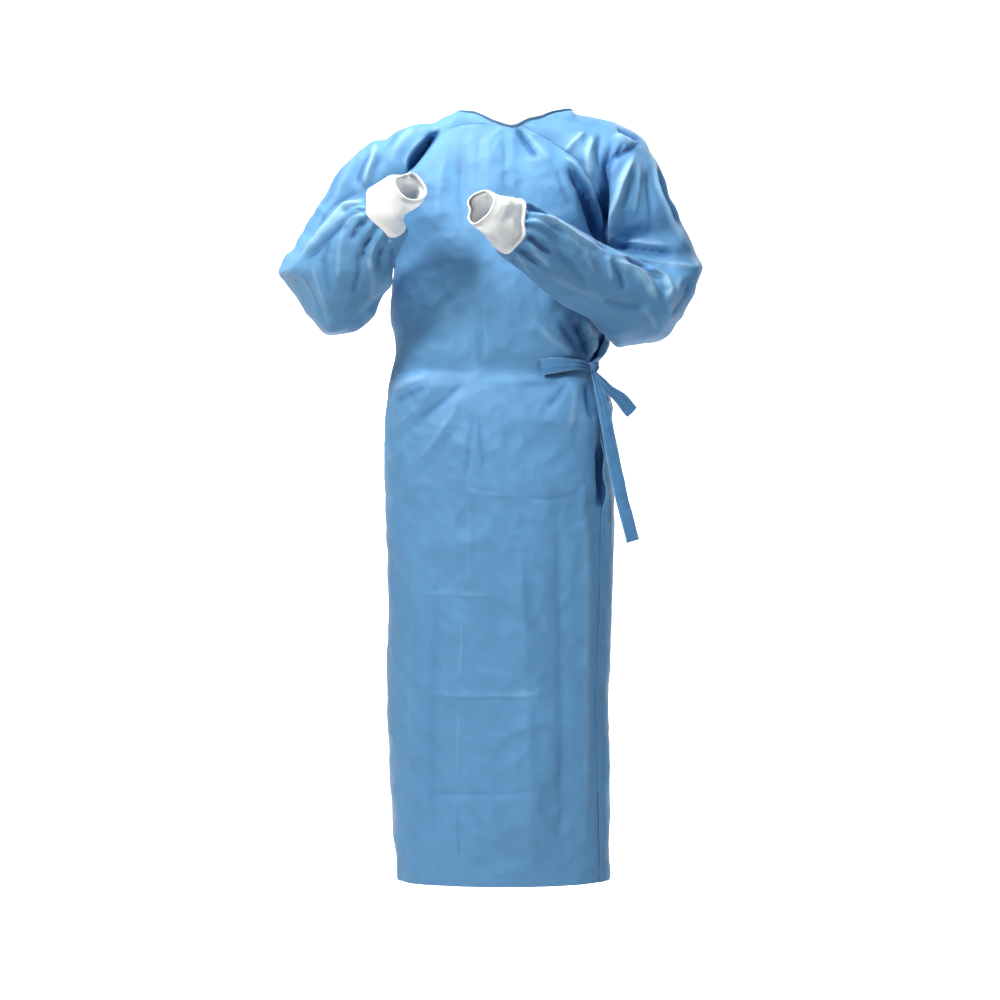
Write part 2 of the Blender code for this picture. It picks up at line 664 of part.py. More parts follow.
def build():
    for thing in list(bpy.data.objects):
        bpy.data.objects.remove(thing)
    gown = bpy.data.objects.new("gown", None)
    bpy.context.scene.collection.objects.link(gown)

    sleeves = {name: sleeve_rows(name) for name in ARMS}
    right, left = sleeves["right"], sleeves["left"]
    front = panel_rows(right[:, 0], left[:, 0], CHEST_DEPTH, FRONT_SQUARENESS, True, FRONT_COLUMNS)
    back = panel_rows(right[:, -1], left[:, -1], NAPE_DEPTH, BACK_SQUARENESS, False, FRONT_COLUMNS)
    front[0] = neckline(np.linspace(NECK_ANGLES["right"][0], NECK_ANGLES["left"][0], FRONT_COLUMNS + 1))
    back[0] = neckline(np.linspace(NECK_ANGLES["right"][1] + 360, NECK_ANGLES["left"][1], FRONT_COLUMNS + 1))

    heights = row_heights()
    flap_edge, under_edge = along(FLAP_EDGE, heights), along(UNDERFLAP_EDGE, heights)
    nothing, whole = np.zeros(len(heights)), np.ones(len(heights))
    flap = wrap_rows(back, front, nothing, flap_edge, FLAP_COLUMNS)
    underflap = wrap_rows(back, front, under_edge, whole, UNDERFLAP_COLUMNS)

    grids = {
        "front": (front, body_middle(front)),
        "back_right": (flap, body_middle(back)),
        "back_left": (underflap, body_middle(back)),
        "sleeve_right": (right, right.mean(axis=1, keepdims=True)),
        "sleeve_left": (left, left.mean(axis=1, keepdims=True)),
    }
    normals = shared_normals(grids)
    for name, (grid, _) in grids.items():
        grid += normals[name] * fold_height(grid)[..., None]
    normals = shared_normals(grids)

    positions = np.linspace(nothing, flap_edge, FLAP_COLUMNS + 1).T
    lift = FLAP_LIFT * smooth_step((positions - FLAP_LIFT_FROM) / (FLAP_LIFT_TO - FLAP_LIFT_FROM))
    flap += normals["back_right"] * lift[..., None]

    seams = {
        "front": ("first", "last", "top"),
        "back_right": ("first", "top"),
        "back_left": ("last", "top"),
        "sleeve_right": ("first", "last", "top", "bottom"),
        "sleeve_left": ("first", "last", "top", "bottom"),
    }
    for name, (grid, _) in grids.items():
        wall(name, grid, normals[name], seams[name], gown)
    for name, arm in ARMS.items():
        cuff(f"cuff_{name}", arm, gown)
    edge = np.concatenate([underflap[0], left[0][::-1][1:], front[0][::-1][1:], right[0][1:], flap[0][1:]])
    binding(edge, gown)
    tie(gown)


build()
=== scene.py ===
import math

import bmesh
import bpy
import numpy as np
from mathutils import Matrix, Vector, kdtree


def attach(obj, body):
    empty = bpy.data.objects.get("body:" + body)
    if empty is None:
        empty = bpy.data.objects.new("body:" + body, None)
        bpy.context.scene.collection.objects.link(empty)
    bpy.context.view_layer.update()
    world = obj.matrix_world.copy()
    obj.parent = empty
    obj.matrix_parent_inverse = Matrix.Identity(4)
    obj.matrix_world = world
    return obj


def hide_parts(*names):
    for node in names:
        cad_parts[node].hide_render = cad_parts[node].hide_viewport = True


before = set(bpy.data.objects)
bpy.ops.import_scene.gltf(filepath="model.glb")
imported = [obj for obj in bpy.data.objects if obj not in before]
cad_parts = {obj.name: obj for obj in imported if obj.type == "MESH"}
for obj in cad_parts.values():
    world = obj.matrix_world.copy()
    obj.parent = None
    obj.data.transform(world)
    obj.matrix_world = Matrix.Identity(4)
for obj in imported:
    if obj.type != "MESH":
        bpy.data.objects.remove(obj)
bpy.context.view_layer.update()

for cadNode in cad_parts.values():
    cadNode.select_set(False)


camera = {
    "place": (-0.01344, -4.5, -0.6535),
    "lens": 96.43,
    "sensor": 36.0,
    "clip": (0.1, 60),
    "pictureScale": 0.00168,  # metres for each pixel of the picture, in the plane of the gown's sides
    "pictureCentre": 500,
}


def placed(name, data):
    # a new object in the scene
    piece = bpy.data.objects.new(name, data)
    bpy.context.scene.collection.objects.link(piece)
    return piece


def meshPiece(name, points, faces):
    mesh = bpy.data.meshes.new(name)
    mesh.from_pydata(points, [], faces)
    mesh.shade_smooth()
    return placed(name, mesh)


def makeCamera():
    lens = bpy.data.cameras.new("studioCamera")
    lens.lens, lens.sensor_width = camera["lens"], camera["sensor"]
    lens.clip_start, lens.clip_end = camera["clip"]
    body = placed("studioCamera", lens)
    body.location = camera["place"]
    body.rotation_euler = (math.radians(90), 0, 0)
    bpy.context.scene.camera = body


def inPicture(points):
    # where the camera sees each point, in pixels from the picture's upper left corner
    eye = np.array(camera["place"])
    away = points - eye
    scale = -eye[1] / away[..., 1] / camera["pictureScale"]
    middle = camera["pictureCentre"]
    return np.stack([middle + away[..., 0] * scale, middle - away[..., 2] * scale], axis=-1)


makeCamera()
print("camera placed")


def unit(vectors):
    return vectors / np.maximum(np.linalg.norm(vectors, axis=-1, keepdims=True), 1e-12)


def smoothStep(x):
    x = np.clip(x, 0, 1)
    return x * x * (3 - 2 * x)


def distances(points):
    # how far each point of a line lies from its first, or each row of a grid from the first row
    gaps = np.linalg.norm(np.diff(points, axis=0), axis=-1)
    if gaps.ndim > 1:
        gaps = gaps.mean(axis=1)
    return np.concatenate([[0], np.cumsum(gaps)])


def curveThrough(values, knots, places):
    # a smooth curve through values along the first axis
    slopes = np.gradient(values, knots, axis=0)
    cell = np.clip(np.searchsorted(knots, places) - 1, 0, len(knots) - 2)
    span = knots[cell + 1] - knots[cell]
    t = (places - knots[cell]) / span
    shape = (-1,) + (1,) * (values.ndim - 1)
    t, span = t.reshape(shape), span.reshape(shape)
    start, end = values[cell], values[cell + 1]
    return (start * (1 + 2 * t) * (1 - t) ** 2 + end * t * t * (3 - 2 * t)
            + span * (slopes[cell] * t * (1 - t) ** 2 - slopes[cell + 1] * t * t * (1 - t)))


def finer(grid, rowStep, columnStep):
    # the grid with rows and columns put in between, about a step apart
    for axis, step in ((0, rowStep), (1, columnStep)):
        values = np.moveaxis(grid, axis, 0)
        knots = distances(values)
        counts = [max(1, round(gap / step)) for gap in np.diff(knots)]
        places = [np.linspace(knots[k], knots[k + 1], count, endpoint=False) for k, count in enumerate(counts)]
        places = np.append(np.concatenate(places), knots[-1])
        grid = np.moveaxis(curveThrough(values, knots, places), 0, axis)
    return grid


def gridNormals(grid, closed=False):
    if closed:
        wide = np.concatenate([grid[:, -2:-1], grid, grid[:, 1:2]], axis=1)
        across = np.gradient(wide, axis=1)[:, 1:-1]
    else:
        across = np.gradient(grid, axis=1)
    return unit(np.cross(across, np.gradient(grid, axis=0)))


def cutMap(grid):
    # how far each point lies along its row and its column, in metres of cloth
    across = np.linalg.norm(np.diff(grid, axis=1), axis=-1)
    down = np.linalg.norm(np.diff(grid, axis=0), axis=-1)
    u = np.concatenate([np.zeros((len(grid), 1)), np.cumsum(across, axis=1)], axis=1)
    v = np.concatenate([np.zeros((1, grid.shape[1])), np.cumsum(down, axis=0)], axis=0)
    return np.stack([u - u.mean(axis=1, keepdims=True), v], axis=-1)


cadWalls = {
    "panel": 0.0015,  # how thick each kind of wall is
    "cuff": 0.002,
    "tie": 0.0013,
    "binding": 0.0026,
    "weld": 2e-5,  # points nearer than this are one
    "match": 3e-6,  # how closely a rim's edge has the wall's thickness
}


def cadWall(nodeName, thickness):
    # the outer sheet of a thin CAD wall, without its rim: each point's neighbours, and the edges of its border
    work = bmesh.new()
    work.from_mesh(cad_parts[nodeName].data)
    bmesh.ops.remove_doubles(work, verts=work.verts, dist=cadWalls["weld"])
    rim = [edge for edge in work.edges if abs(edge.calc_length() - thickness) < cadWalls["match"]]
    bmesh.ops.delete(work, geom=rim, context="EDGES")
    loose = [point for point in work.verts if not point.link_faces]
    bmesh.ops.delete(work, geom=loose, context="VERTS")
    work.verts.index_update()
    work.normal_update()
    islands, seen = [], set()
    for face in work.faces:
        if face in seen:
            continue
        island, queue = [], [face]
        seen.add(face)
        while queue:
            here = queue.pop()
            island.append(here)
            for edge in here.edges:
                for beside in edge.link_faces:
                    if beside not in seen:
                        seen.add(beside)
                        queue.append(beside)
        islands.append(island)
    outer = max(islands, key=lambda island: sum(face.calc_area() for face in island))
    kept = {point for face in outer for point in face.verts}
    neighbours = {point: {edge.other_vert(point) for edge in point.link_edges} & kept for point in kept}
    borderEdges = {edge for face in outer for edge in face.edges if len(edge.link_faces) == 1}
    return work, neighbours, borderEdges


def walkBorder(borderEdges):
    beside = {}
    for edge in borderEdges:
        for point in edge.verts:
            beside.setdefault(point, []).append(edge.other_vert(point))
    loops = []
    while beside:
        start = min(beside, key=lambda point: tuple(point.co))
        loop, here, before = [start], beside[start][0], start
        while here is not start:
            loop.append(here)
            here, before = next(p for p in beside[here] if p is not before), here
        for point in loop:
            del beside[point]
        loops.append(loop)
    return loops


def sheetGrid(nodeName, columns, thickness=cadWalls["panel"], topFirst=True):
    # the outer points of a CAD wall as rows and columns, with the first row at the neck
    work, neighbours, borderEdges = cadWall(nodeName, thickness)
    border = max(walkBorder(borderEdges), key=len)
    total = len(border)
    rows = total // 2 - columns
    places = np.array([point.co for point in border])
    before, after = unit(places - np.roll(places, 1, axis=0)), unit(np.roll(places, -1, axis=0) - places)
    turn = 1 - (before * after).sum(axis=1)
    corners = (0, columns, columns + rows, 2 * columns + rows)
    best = max(range(total), key=lambda start: sum(turn[(start + corner) % total] for corner in corners))
    border = border[best:] + border[:best]
    row = border[:columns + 1]
    firstSide = [border[-k] for k in range(1, rows + 1)]
    lines, done = [row], set(row)
    for side in firstSide:
        found = {p for point in lines[-1] for p in neighbours[point]} - done
        line, here = [side], side
        while len(line) < columns + 1:
            here = next(p for p in neighbours[here] if p in found and p not in line)
            line.append(here)
        lines.append(line)
        done.update(line)
    grid = np.array([[point.co for point in line] for line in lines])
    normal = np.array([[point.normal for point in line] for line in lines])
    work.free()
    if topFirst and np.linalg.norm(grid[0].mean(axis=0)) > np.linalg.norm(grid[-1].mean(axis=0)):
        grid, normal = grid[::-1], normal[::-1]
    if (gridNormals(grid) * normal).sum() < 0:
        grid = grid[:, ::-1]
    return grid


def tubeGrid(nodeName, thickness, startNear):
    # the outer points of a CAD tube as closed rings, each with its first point again at its end
    work, neighbours, borderEdges = cadWall(nodeName, thickness)
    loops = walkBorder(borderEdges)
    middles = [np.mean([point.co for point in loop], axis=0) for loop in loops]
    first = loops[int(np.linalg.norm(np.array(middles) - startNear, axis=1).argmin())]
    rings, done = [first], set(first)
    while len(done) < len(neighbours):
        last = rings[-1]
        found = {p for point in last for p in neighbours[point]} - done
        start = min(found, key=lambda p: (p.co - last[0].co).length)
        second = min(neighbours[start] & found, key=lambda p: (p.co - last[1].co).length)
        ring = [start, second]
        while len(ring) < len(last):
            ring.append(next(p for p in neighbours[ring[-1]] if p in found and p not in ring))
        rings.append(ring)
        done.update(ring)
    grid = np.array([[point.co for point in ring + ring[:1]] for ring in rings])
    normal = np.array([[point.normal for point in ring + ring[:1]] for ring in rings])
    work.free()
    if (gridNormals(grid, True) * normal).sum() < 0:
        grid = grid[:, ::-1]
    return grid


gownPieces = {
    # columns of the CAD wall, spacing of rows and columns in the finished sheet, edges sewn to another piece
    "front": {"columns": 22, "rowStep": 0.0032, "columnStep": 0.0027, "seams": ("first", "last")},
    "back_right": {"columns": 26, "rowStep": 0.0037, "columnStep": 0.0034, "seams": ("first",)},
    "back_left": {"columns": 12, "rowStep": 0.005, "columnStep": 0.0045, "seams": ("last",)},
    "sleeve_right": {"columns": 28, "rowStep": 0.0021, "columnStep": 0.0022, "seams": ("first", "last")},
    "sleeve_left": {"columns": 28, "rowStep": 0.0021, "columnStep": 0.0022, "seams": ("first", "last")},
}
cloth = {
    "thickness": 0.0006,  # a hem is twice this
    "seamReach": 0.006,  # how near two edges are that are sewn together
    "seamBlend": 8,  # columns over which they turn to each other
    "allowance": 0.006,  # cloth turned in behind a seam
    "hemWidth": 0.018,
    "edgeHemWidth": 0.010,
    "creaseGain": 1.7,
    "creaseWidth": 0.8,
    "paintedShadingHeight": 0.005,  # height of a crease at which its painted shade in a trough and painted highlight on a ridge are nearly full
    "neckRest": 0.014,  # no crease starts nearer the neckline than this
    "cuffRest": 0.010,
    "normalRounds": 16,  # how often the directions are softened along which the creases rise
    "spacingRounds": 20,
    "bunched": 0.8,  # rows nearer each other than this share of their step carry lower creases
}
bends = {
    # row and column of a CAD sleeve's crook, and how far round it the cloth is softened
    "sleeve_left": (9, 22, 0.045),
    "sleeve_right": (10, 8, 0.045),
}
bendRounds = 200
bendSeam = 4  # columns at a sleeve's seam that stay


def softened(values, rounds):
    # each value moved towards those of the rows and columns beside it, a few times over
    for _ in range(rounds):
        for axis in (0, 1):
            values = np.moveaxis(values, axis, 0)
            wide = np.concatenate([values[:1], values, values[-1:]])
            values = np.moveaxis((wide[:-2] + 2 * wide[1:-1] + wide[2:]) / 4, 0, axis)
    return values


sheets = {}
for nodeName, plan in gownPieces.items():
    coarse = sheetGrid(nodeName, plan["columns"])
    grid = finer(coarse, plan["rowStep"], plan["columnStep"])
    if nodeName in bends:
        row, column, reach = bends[nodeName]
        share = np.exp(-(np.linalg.norm(grid - coarse[row, column], axis=-1) / reach) ** 2)
        share[:, :bendSeam], share[:, -bendSeam:] = 0, 0
        grid = grid + (softened(grid, bendRounds) - grid) * share[..., None]
    sheets[nodeName] = grid
print("panels read:", {name: grid.shape[:2] for name, grid in sheets.items()})


def nearEdge(side, steps=0):
    # the border row or column of a grid, or one some steps inside it, as an index
    line = -1 - steps if side in ("last", "bottom") else steps
    return (slice(None), line) if side in ("first", "last") else (line, slice(None))


def sewnNormals(sheets):
    # the direction each point faces, shared by pieces along a seam
    normals = {name: unit(softened(gridNormals(grid), cloth["normalRounds"])) for name, grid in sheets.items()}
    edges = [(name, side) for name, plan in gownPieces.items() for side in plan["seams"]]
    trees = {}
    for name, side in edges:
        border = sheets[name][nearEdge(side)]
        tree = kdtree.KDTree(len(border))
        for index, point in enumerate(border):
            tree.insert(point, index)
        tree.balance()
        trees[name, side] = tree
    shared = {}
    for name, side in edges:
        where = nearEdge(side)
        border, own = sheets[name][where], normals[name][where]
        total = own.copy()
        for other, otherSide in edges:
            if (other, otherSide) == (name, side):
                continue
            theirs = normals[other][nearEdge(otherSide)]
            for index, point in enumerate(border):
                _, nearest, distance = trees[other, otherSide].find(point)
                if distance < cloth["seamReach"]:
                    total[index] += theirs[nearest]
        shared[name, side] = unit(total)
    for name, side in edges:
        count = cloth["seamBlend"]
        for step in range(count):
            where = nearEdge(side, step)
            share = 1 - step / count
            normals[name][where] = unit(shared[name, side] * share + normals[name][where] * (1 - share))
    return normals


# Creases are placed in the picture: the pieces, the width of the slope on the left and on the right of the
# path, the height of the ridge in millimetres, troughs below zero, and the path in pixels
pieceGroups = {
    "chest": ("front",),
    "flap": ("back_right",),
    "body": ("front", "back_right", "back_left"),
    "right": ("sleeve_right",),
    "left": ("sleeve_left",),
    "rightSeam": ("sleeve_right", "front"),
    "leftSeam": ("sleeve_left", "front"),
    "all": ("front", "back_right", "back_left", "sleeve_right", "sleeve_left"),
    "neck": ("front", "sleeve_right", "sleeve_left", "neck_binding"),
    "shoulder": ("front", "sleeve_right"),
    "rightCuff": ("sleeve_right", "cuff_right"),
    "leftCuff": ("sleeve_left", "cuff_left"),
    "knot": ("front", "back_right", "back_left", "tie_knot", "tie_end", "tie_short", "tie_long"),
    "shortTail": ("tie_short",),
    "endTail": ("tie_end",),
}
# narrow creases here also paint shade into their troughs and a highlight onto their ridges
frontCreases = [
    # the wearer's right shoulder and upper sleeve
    ("rightSeam", 5, 4, -6.5, [(441, 126), (430, 140), (420, 152), (403, 174)]),
    ("rightSeam", 3, 3, -6.0, [(438, 128), (430, 139), (419, 153), (403, 174)]),
    ("right", 4, 6, 2.6, [(428, 134), (416, 146), (398, 168)]),
    ("right", 6, 4, 5.0, [(377, 142), (372, 162), (364, 188)]),
    ("right", 4, 4, -4.0, [(370, 146), (364, 166), (357, 188)]),
    ("right", 8, 6, 2.2, [(418, 124), (400, 142), (385, 168)]),
    ("right", 5, 5, -1.8, [(402, 124), (386, 146), (376, 172)]),
    ("right", 5, 5, -1.6, [(350, 152), (334, 182), (318, 212)]),
    ("right", 6, 5, 1.6, [(358, 150), (345, 178), (328, 205)]),
    ("right", 4, 5, -2.0, [(361, 189), (334, 206), (309, 230)]),
    # the forearm
    ("right", 5, 8, 6.5, [(367, 195), (345, 210), (314, 241), (294, 258)]),
    ("right", 4, 5, -3.6, [(350, 218), (326, 240), (304, 264)]),
    ("right", 5, 5, 1.8, [(345, 220), (340, 250), (338, 285)]),
    ("right", 5, 6, -1.6, [(330, 236), (324, 262), (330, 300)]),
    ("right", 6, 6, 1.6, [(312, 258), (318, 288), (332, 318)]),
    ("right", 5, 6, -1.5, [(300, 268), (312, 300), (330, 324)]),
    ("right", 5, 5, 1.7, [(366, 252), (372, 276), (372, 300)]),
    ("right", 4, 4, -2.0, [(358, 246), (360, 270), (352, 300)]),
    ("right", 5, 4, 2.0, [(390, 262), (378, 292), (352, 316)]),
    # gathers at the cuff
    ("right", 3, 3, -2.6, [(368, 206), (356, 208), (344, 216)]),
    ("right", 3, 3, 2.0, [(367, 212), (355, 218), (344, 228)]),
    ("right", 3, 3, -2.8, [(368, 220), (358, 228), (350, 242)]),
    ("right", 3, 3, -3.0, [(373, 234), (366, 245), (362, 262)]),
    ("right", 3, 3, 2.2, [(376, 240), (371, 252), (370, 270)]),
    ("right", 3, 3, -3.0, [(382, 243), (379, 256), (377, 272)]),
    ("right", 3, 3, -2.4, [(391, 243), (392, 256), (388, 272)]),
    # the chest below the neckline
    ("chest", 5, 6, -0.8, [(481, 131), (478, 150), (476, 190)]),
    ("chest", 6, 5, 0.6, [(488, 131), (489, 160), (486, 206)]),
    ("chest", 5, 6, -0.9, [(503, 131), (505, 158), (503, 200)]),
    ("chest", 6, 6, 0.6, [(513, 132), (513, 164), (517, 204)]),
    ("chest", 6, 5, -0.6, [(468, 134), (465, 164), (466, 200)]),
    ("chest", 4, 3, -4.2, [(515, 127), (525, 142), (539, 160)]),
    ("chest", 5, 5, 1.6, [(524, 130), (536, 146), (554, 164)]),
    ("chest", 8, 8, 1.6, [(447, 150), (440, 180), (436, 230)]),
    ("chest", 8, 9, -1.4, [(462, 150), (460, 190), (466, 240)]),
    ("chest", 5, 4, -1.6, [(556, 166), (562, 186), (572, 210)]),
    # the wearer's left shoulder
    ("leftSeam", 14, 5, -7.5, [(568, 160), (587, 192), (598, 222), (607, 254)]),
    ("leftSeam", 6, 3, -6.0, [(564, 158), (584, 186), (596, 214), (606, 254)]),
    ("leftSeam", 5, 6, 3.6, [(560, 154), (574, 166), (588, 184), (598, 214)]),
    ("left", 6, 5, -9.0, [(612, 140), (606, 172), (604, 206), (606, 252)]),
    ("left", 3, 3, -5.0, [(606, 156), (604, 180), (603, 206), (604, 236)]),
    ("left", 4, 9, 6.5, [(636, 150), (621, 182), (613, 212), (609, 246)]),
    ("left", 4, 5, 4.0, [(594, 132), (588, 154), (592, 182)]),
    ("left", 4, 4, -3.4, [(600, 130), (598, 150), (599, 174)]),
    ("left", 4, 4, 3.2, [(586, 130), (575, 142), (564, 154)]),
    ("left", 3, 4, -4.4, [(614, 128), (628, 134), (642, 142)]),
    ("left", 4, 3, 3.6, [(612, 134), (626, 141), (640, 149)]),
    ("left", 3, 4, -4.4, [(642, 141), (630, 149), (613, 158)]),
    ("left", 3, 3, -3.0, [(624, 143), (618, 153), (608, 164)]),
    # its upper sleeve
    ("left", 4, 4, -1.9, [(630, 162), (628, 190), (622, 214)]),
    ("left", 4, 4, 1.6, [(638, 160), (638, 190), (632, 220)]),
    ("left", 4, 4, -1.9, [(647, 168), (650, 196), (650, 228)]),
    ("left", 4, 3, 4.2, [(650, 156), (662, 190), (675, 222), (690, 252)]),
    ("left", 3, 4, -3.6, [(655, 156), (668, 192), (684, 232)]),
    # the folds in front of the elbow
    ("left", 5, 5, 2.8, [(606, 232), (628, 240), (648, 244), (674, 247)]),
    ("left", 6, 6, -4.0, [(612, 246), (634, 250), (654, 252), (678, 254)]),
    ("left", 4, 5, 2.6, [(602, 253), (634, 259), (662, 263), (700, 270)]),
    ("left", 5, 4, 5.0, [(612, 260), (634, 270), (648, 284), (658, 302)]),
    ("left", 4, 5, -5.0, [(622, 258), (644, 266), (664, 282)]),
    ("left", 4, 4, 4.4, [(642, 264), (662, 276), (669, 290), (663, 304)]),
    ("left", 4, 4, 2.6, [(605, 254), (608, 266), (611, 282)]),
    ("left", 4, 4, -2.2, [(614, 262), (620, 276), (624, 292)]),
    ("left", 5, 5, 1.8, [(680, 272), (676, 292), (664, 316)]),
    ("left", 5, 5, -1.8, [(690, 276), (684, 300), (670, 322)]),
    ("left", 6, 6, 1.6, [(640, 306), (652, 318), (656, 330)]),
    # its forearm
    ("left", 3, 5, 3.8, [(528, 210), (552, 221), (578, 237), (606, 253)]),
    ("left", 3, 4, -3.8, [(526, 206), (538, 209), (552, 216)]),
    ("left", 3, 4, 2.4, [(525, 218), (538, 220), (556, 226)]),
    ("left", 3, 4, -4.4, [(526, 232), (534, 243), (552, 256)]),
    ("left", 3, 4, 2.8, [(527, 238), (536, 252), (552, 266)]),
    ("left", 3, 3, -3.0, [(519, 246), (528, 256), (540, 266)]),
    ("left", 3, 3, 2.2, [(514, 250), (522, 260), (532, 274)]),
    ("left", 3, 3, -2.6, [(510, 254), (516, 266), (526, 280)]),
    ("left", 7, 7, 1.8, [(560, 232), (584, 252), (596, 280)]),
    ("left", 7, 6, -1.8, [(548, 246), (572, 266), (590, 292)]),
    ("left", 6, 6, 1.6, [(540, 268), (572, 286), (612, 300)]),
    ("left", 3, 3, 2.6, [(520, 276), (540, 293), (574, 314)]),
    ("left", 6, 6, -1.6, [(596, 296), (622, 306), (650, 308)]),
    # the body beside the forearm, drawn to the knot
    ("body", 5, 4, -5.5, [(574, 318), (584, 340), (589, 358)]),
    ("body", 3, 4, 4.6, [(584, 318), (591, 338), (592, 358)]),
    ("body", 4, 4, -3.8, [(600, 330), (598, 345), (594, 360)]),
    ("body", 4, 4, 3.2, [(608, 338), (602, 350), (596, 362)]),
    ("body", 5, 5, -3.4, [(556, 318), (572, 340), (584, 360)]),
    ("chest", 6, 6, 1.8, [(536, 322), (552, 340), (578, 356)]),
    # the waist
    ("body", 5, 7, -1.3, [(391, 374), (412, 371), (436, 370), (478, 371)]),
    ("chest", 6, 8, -0.8, [(478, 371), (520, 373), (560, 372), (586, 372)]),
    ("body", 5, 7, 2.4, [(392, 392), (412, 380), (432, 374)]),
    ("body", 6, 6, -1.6, [(392, 404), (410, 394), (430, 386)]),
    ("chest", 4, 7, -1.0, [(564, 378), (545, 384), (518, 386)]),
    ("chest", 5, 6, 0.8, [(478, 380), (512, 382), (548, 379)]),
    # the diagonal folds under it
    ("chest", 6, 8, -2.2, [(466, 380), (448, 398), (430, 412), (412, 422)]),
    ("chest", 8, 9, 2.2, [(458, 386), (454, 412), (432, 446), (412, 468)]),
    ("chest", 8, 9, -1.5, [(460, 424), (438, 452), (412, 482)]),
    ("body", 8, 8, 1.6, [(390, 432), (404, 420), (422, 408)]),
    ("body", 7, 8, -1.3, [(390, 446), (408, 430), (430, 416)]),
    ("body", 8, 8, 1.1, [(391, 466), (406, 446), (420, 424)]),
    ("body", 7, 7, -0.9, [(393, 484), (404, 464), (416, 442)]),
    ("body", 8, 8, 2.6, [(389, 410), (387, 440), (388, 480), (389, 540)]),
    # drawn from the knot downwards
    ("body", 4, 4, -4.4, [(588, 378), (588, 398), (593, 424)]),
    ("body", 4, 4, 4.0, [(597, 376), (601, 392), (604, 408)]),
    ("body", 3, 4, -3.4, [(602, 380), (607, 396), (608, 410)]),
    ("chest", 6, 6, 1.4, [(578, 380), (574, 402), (572, 430)]),
    ("chest", 5, 5, -1.8, [(570, 378), (558, 396), (546, 410)]),
    # where the cloth was folded in its packet
    ("chest", 5, 4, -1.2, [(476, 404), (472, 430), (468, 460), (465, 490)]),
    ("chest", 5, 9, -1.3, [(479, 410), (481, 440), (486, 474)]),
    ("chest", 3, 3, 0.9, [(470, 492), (470, 530), (469, 560), (468, 600)]),
    ("chest", 3, 3, 1.1, [(462, 610), (461, 650), (459, 692)]),
    ("chest", 3, 4, 1.1, [(459, 696), (458, 740), (457, 790)]),
    ("chest", 3, 4, -0.9, [(457, 796), (458, 830), (459, 872)]),
    ("chest", 3, 3, 0.9, [(462, 491), (484, 494), (518, 497)]),
    ("chest", 3, 4, -1.0, [(518, 497), (548, 499), (574, 495), (586, 480)]),
    ("chest", 3, 3, 1.0, [(418, 595), (448, 594), (502, 596)]),
    ("chest", 3, 3, 1.1, [(408, 693), (460, 696), (512, 695), (562, 694)]),
    ("chest", 3, 3, -0.9, [(424, 793), (480, 794), (542, 792)]),
    ("chest", 3, 5, 0.6, [(473, 322), (475, 344), (475, 369)]),
    ("chest", 4, 3, -0.8, [(482, 318), (483, 344), (482, 369)]),
    # long soft folds of the skirt
    ("chest", 12, 14, 3.0, [(420, 500), (414, 620), (412, 760), (414, 876)]),
    ("chest", 12, 12, -2.8, [(438, 520), (434, 640), (432, 780), (436, 880)]),
    ("chest", 14, 12, 2.6, [(520, 520), (524, 640), (530, 780), (528, 880)]),
    ("chest", 12, 12, -3.0, [(556, 470), (560, 600), (562, 760), (560, 884)]),
    ("chest", 9, 9, 2.4, [(582, 440), (586, 560), (586, 700), (584, 880)]),
    ("chest", 7, 7, 0.7, [(504, 420), (500, 450), (502, 480)]),
    ("chest", 6, 6, 0.8, [(572, 410), (568, 430), (572, 450)]),
    # a deep narrow trough at the wrap's slit, whose crease tone paints shade into it
    ("chest", 3, 3, -9.0, [(599, 440), (601, 462), (600, 488), (598, 510)]),
    ("flap", 4, 5, 1.8, [(606, 410), (609, 450), (608, 500), (610, 600)]),
    ("flap", 4, 5, 1.5, [(606, 620), (607, 720), (605, 860)]),
]
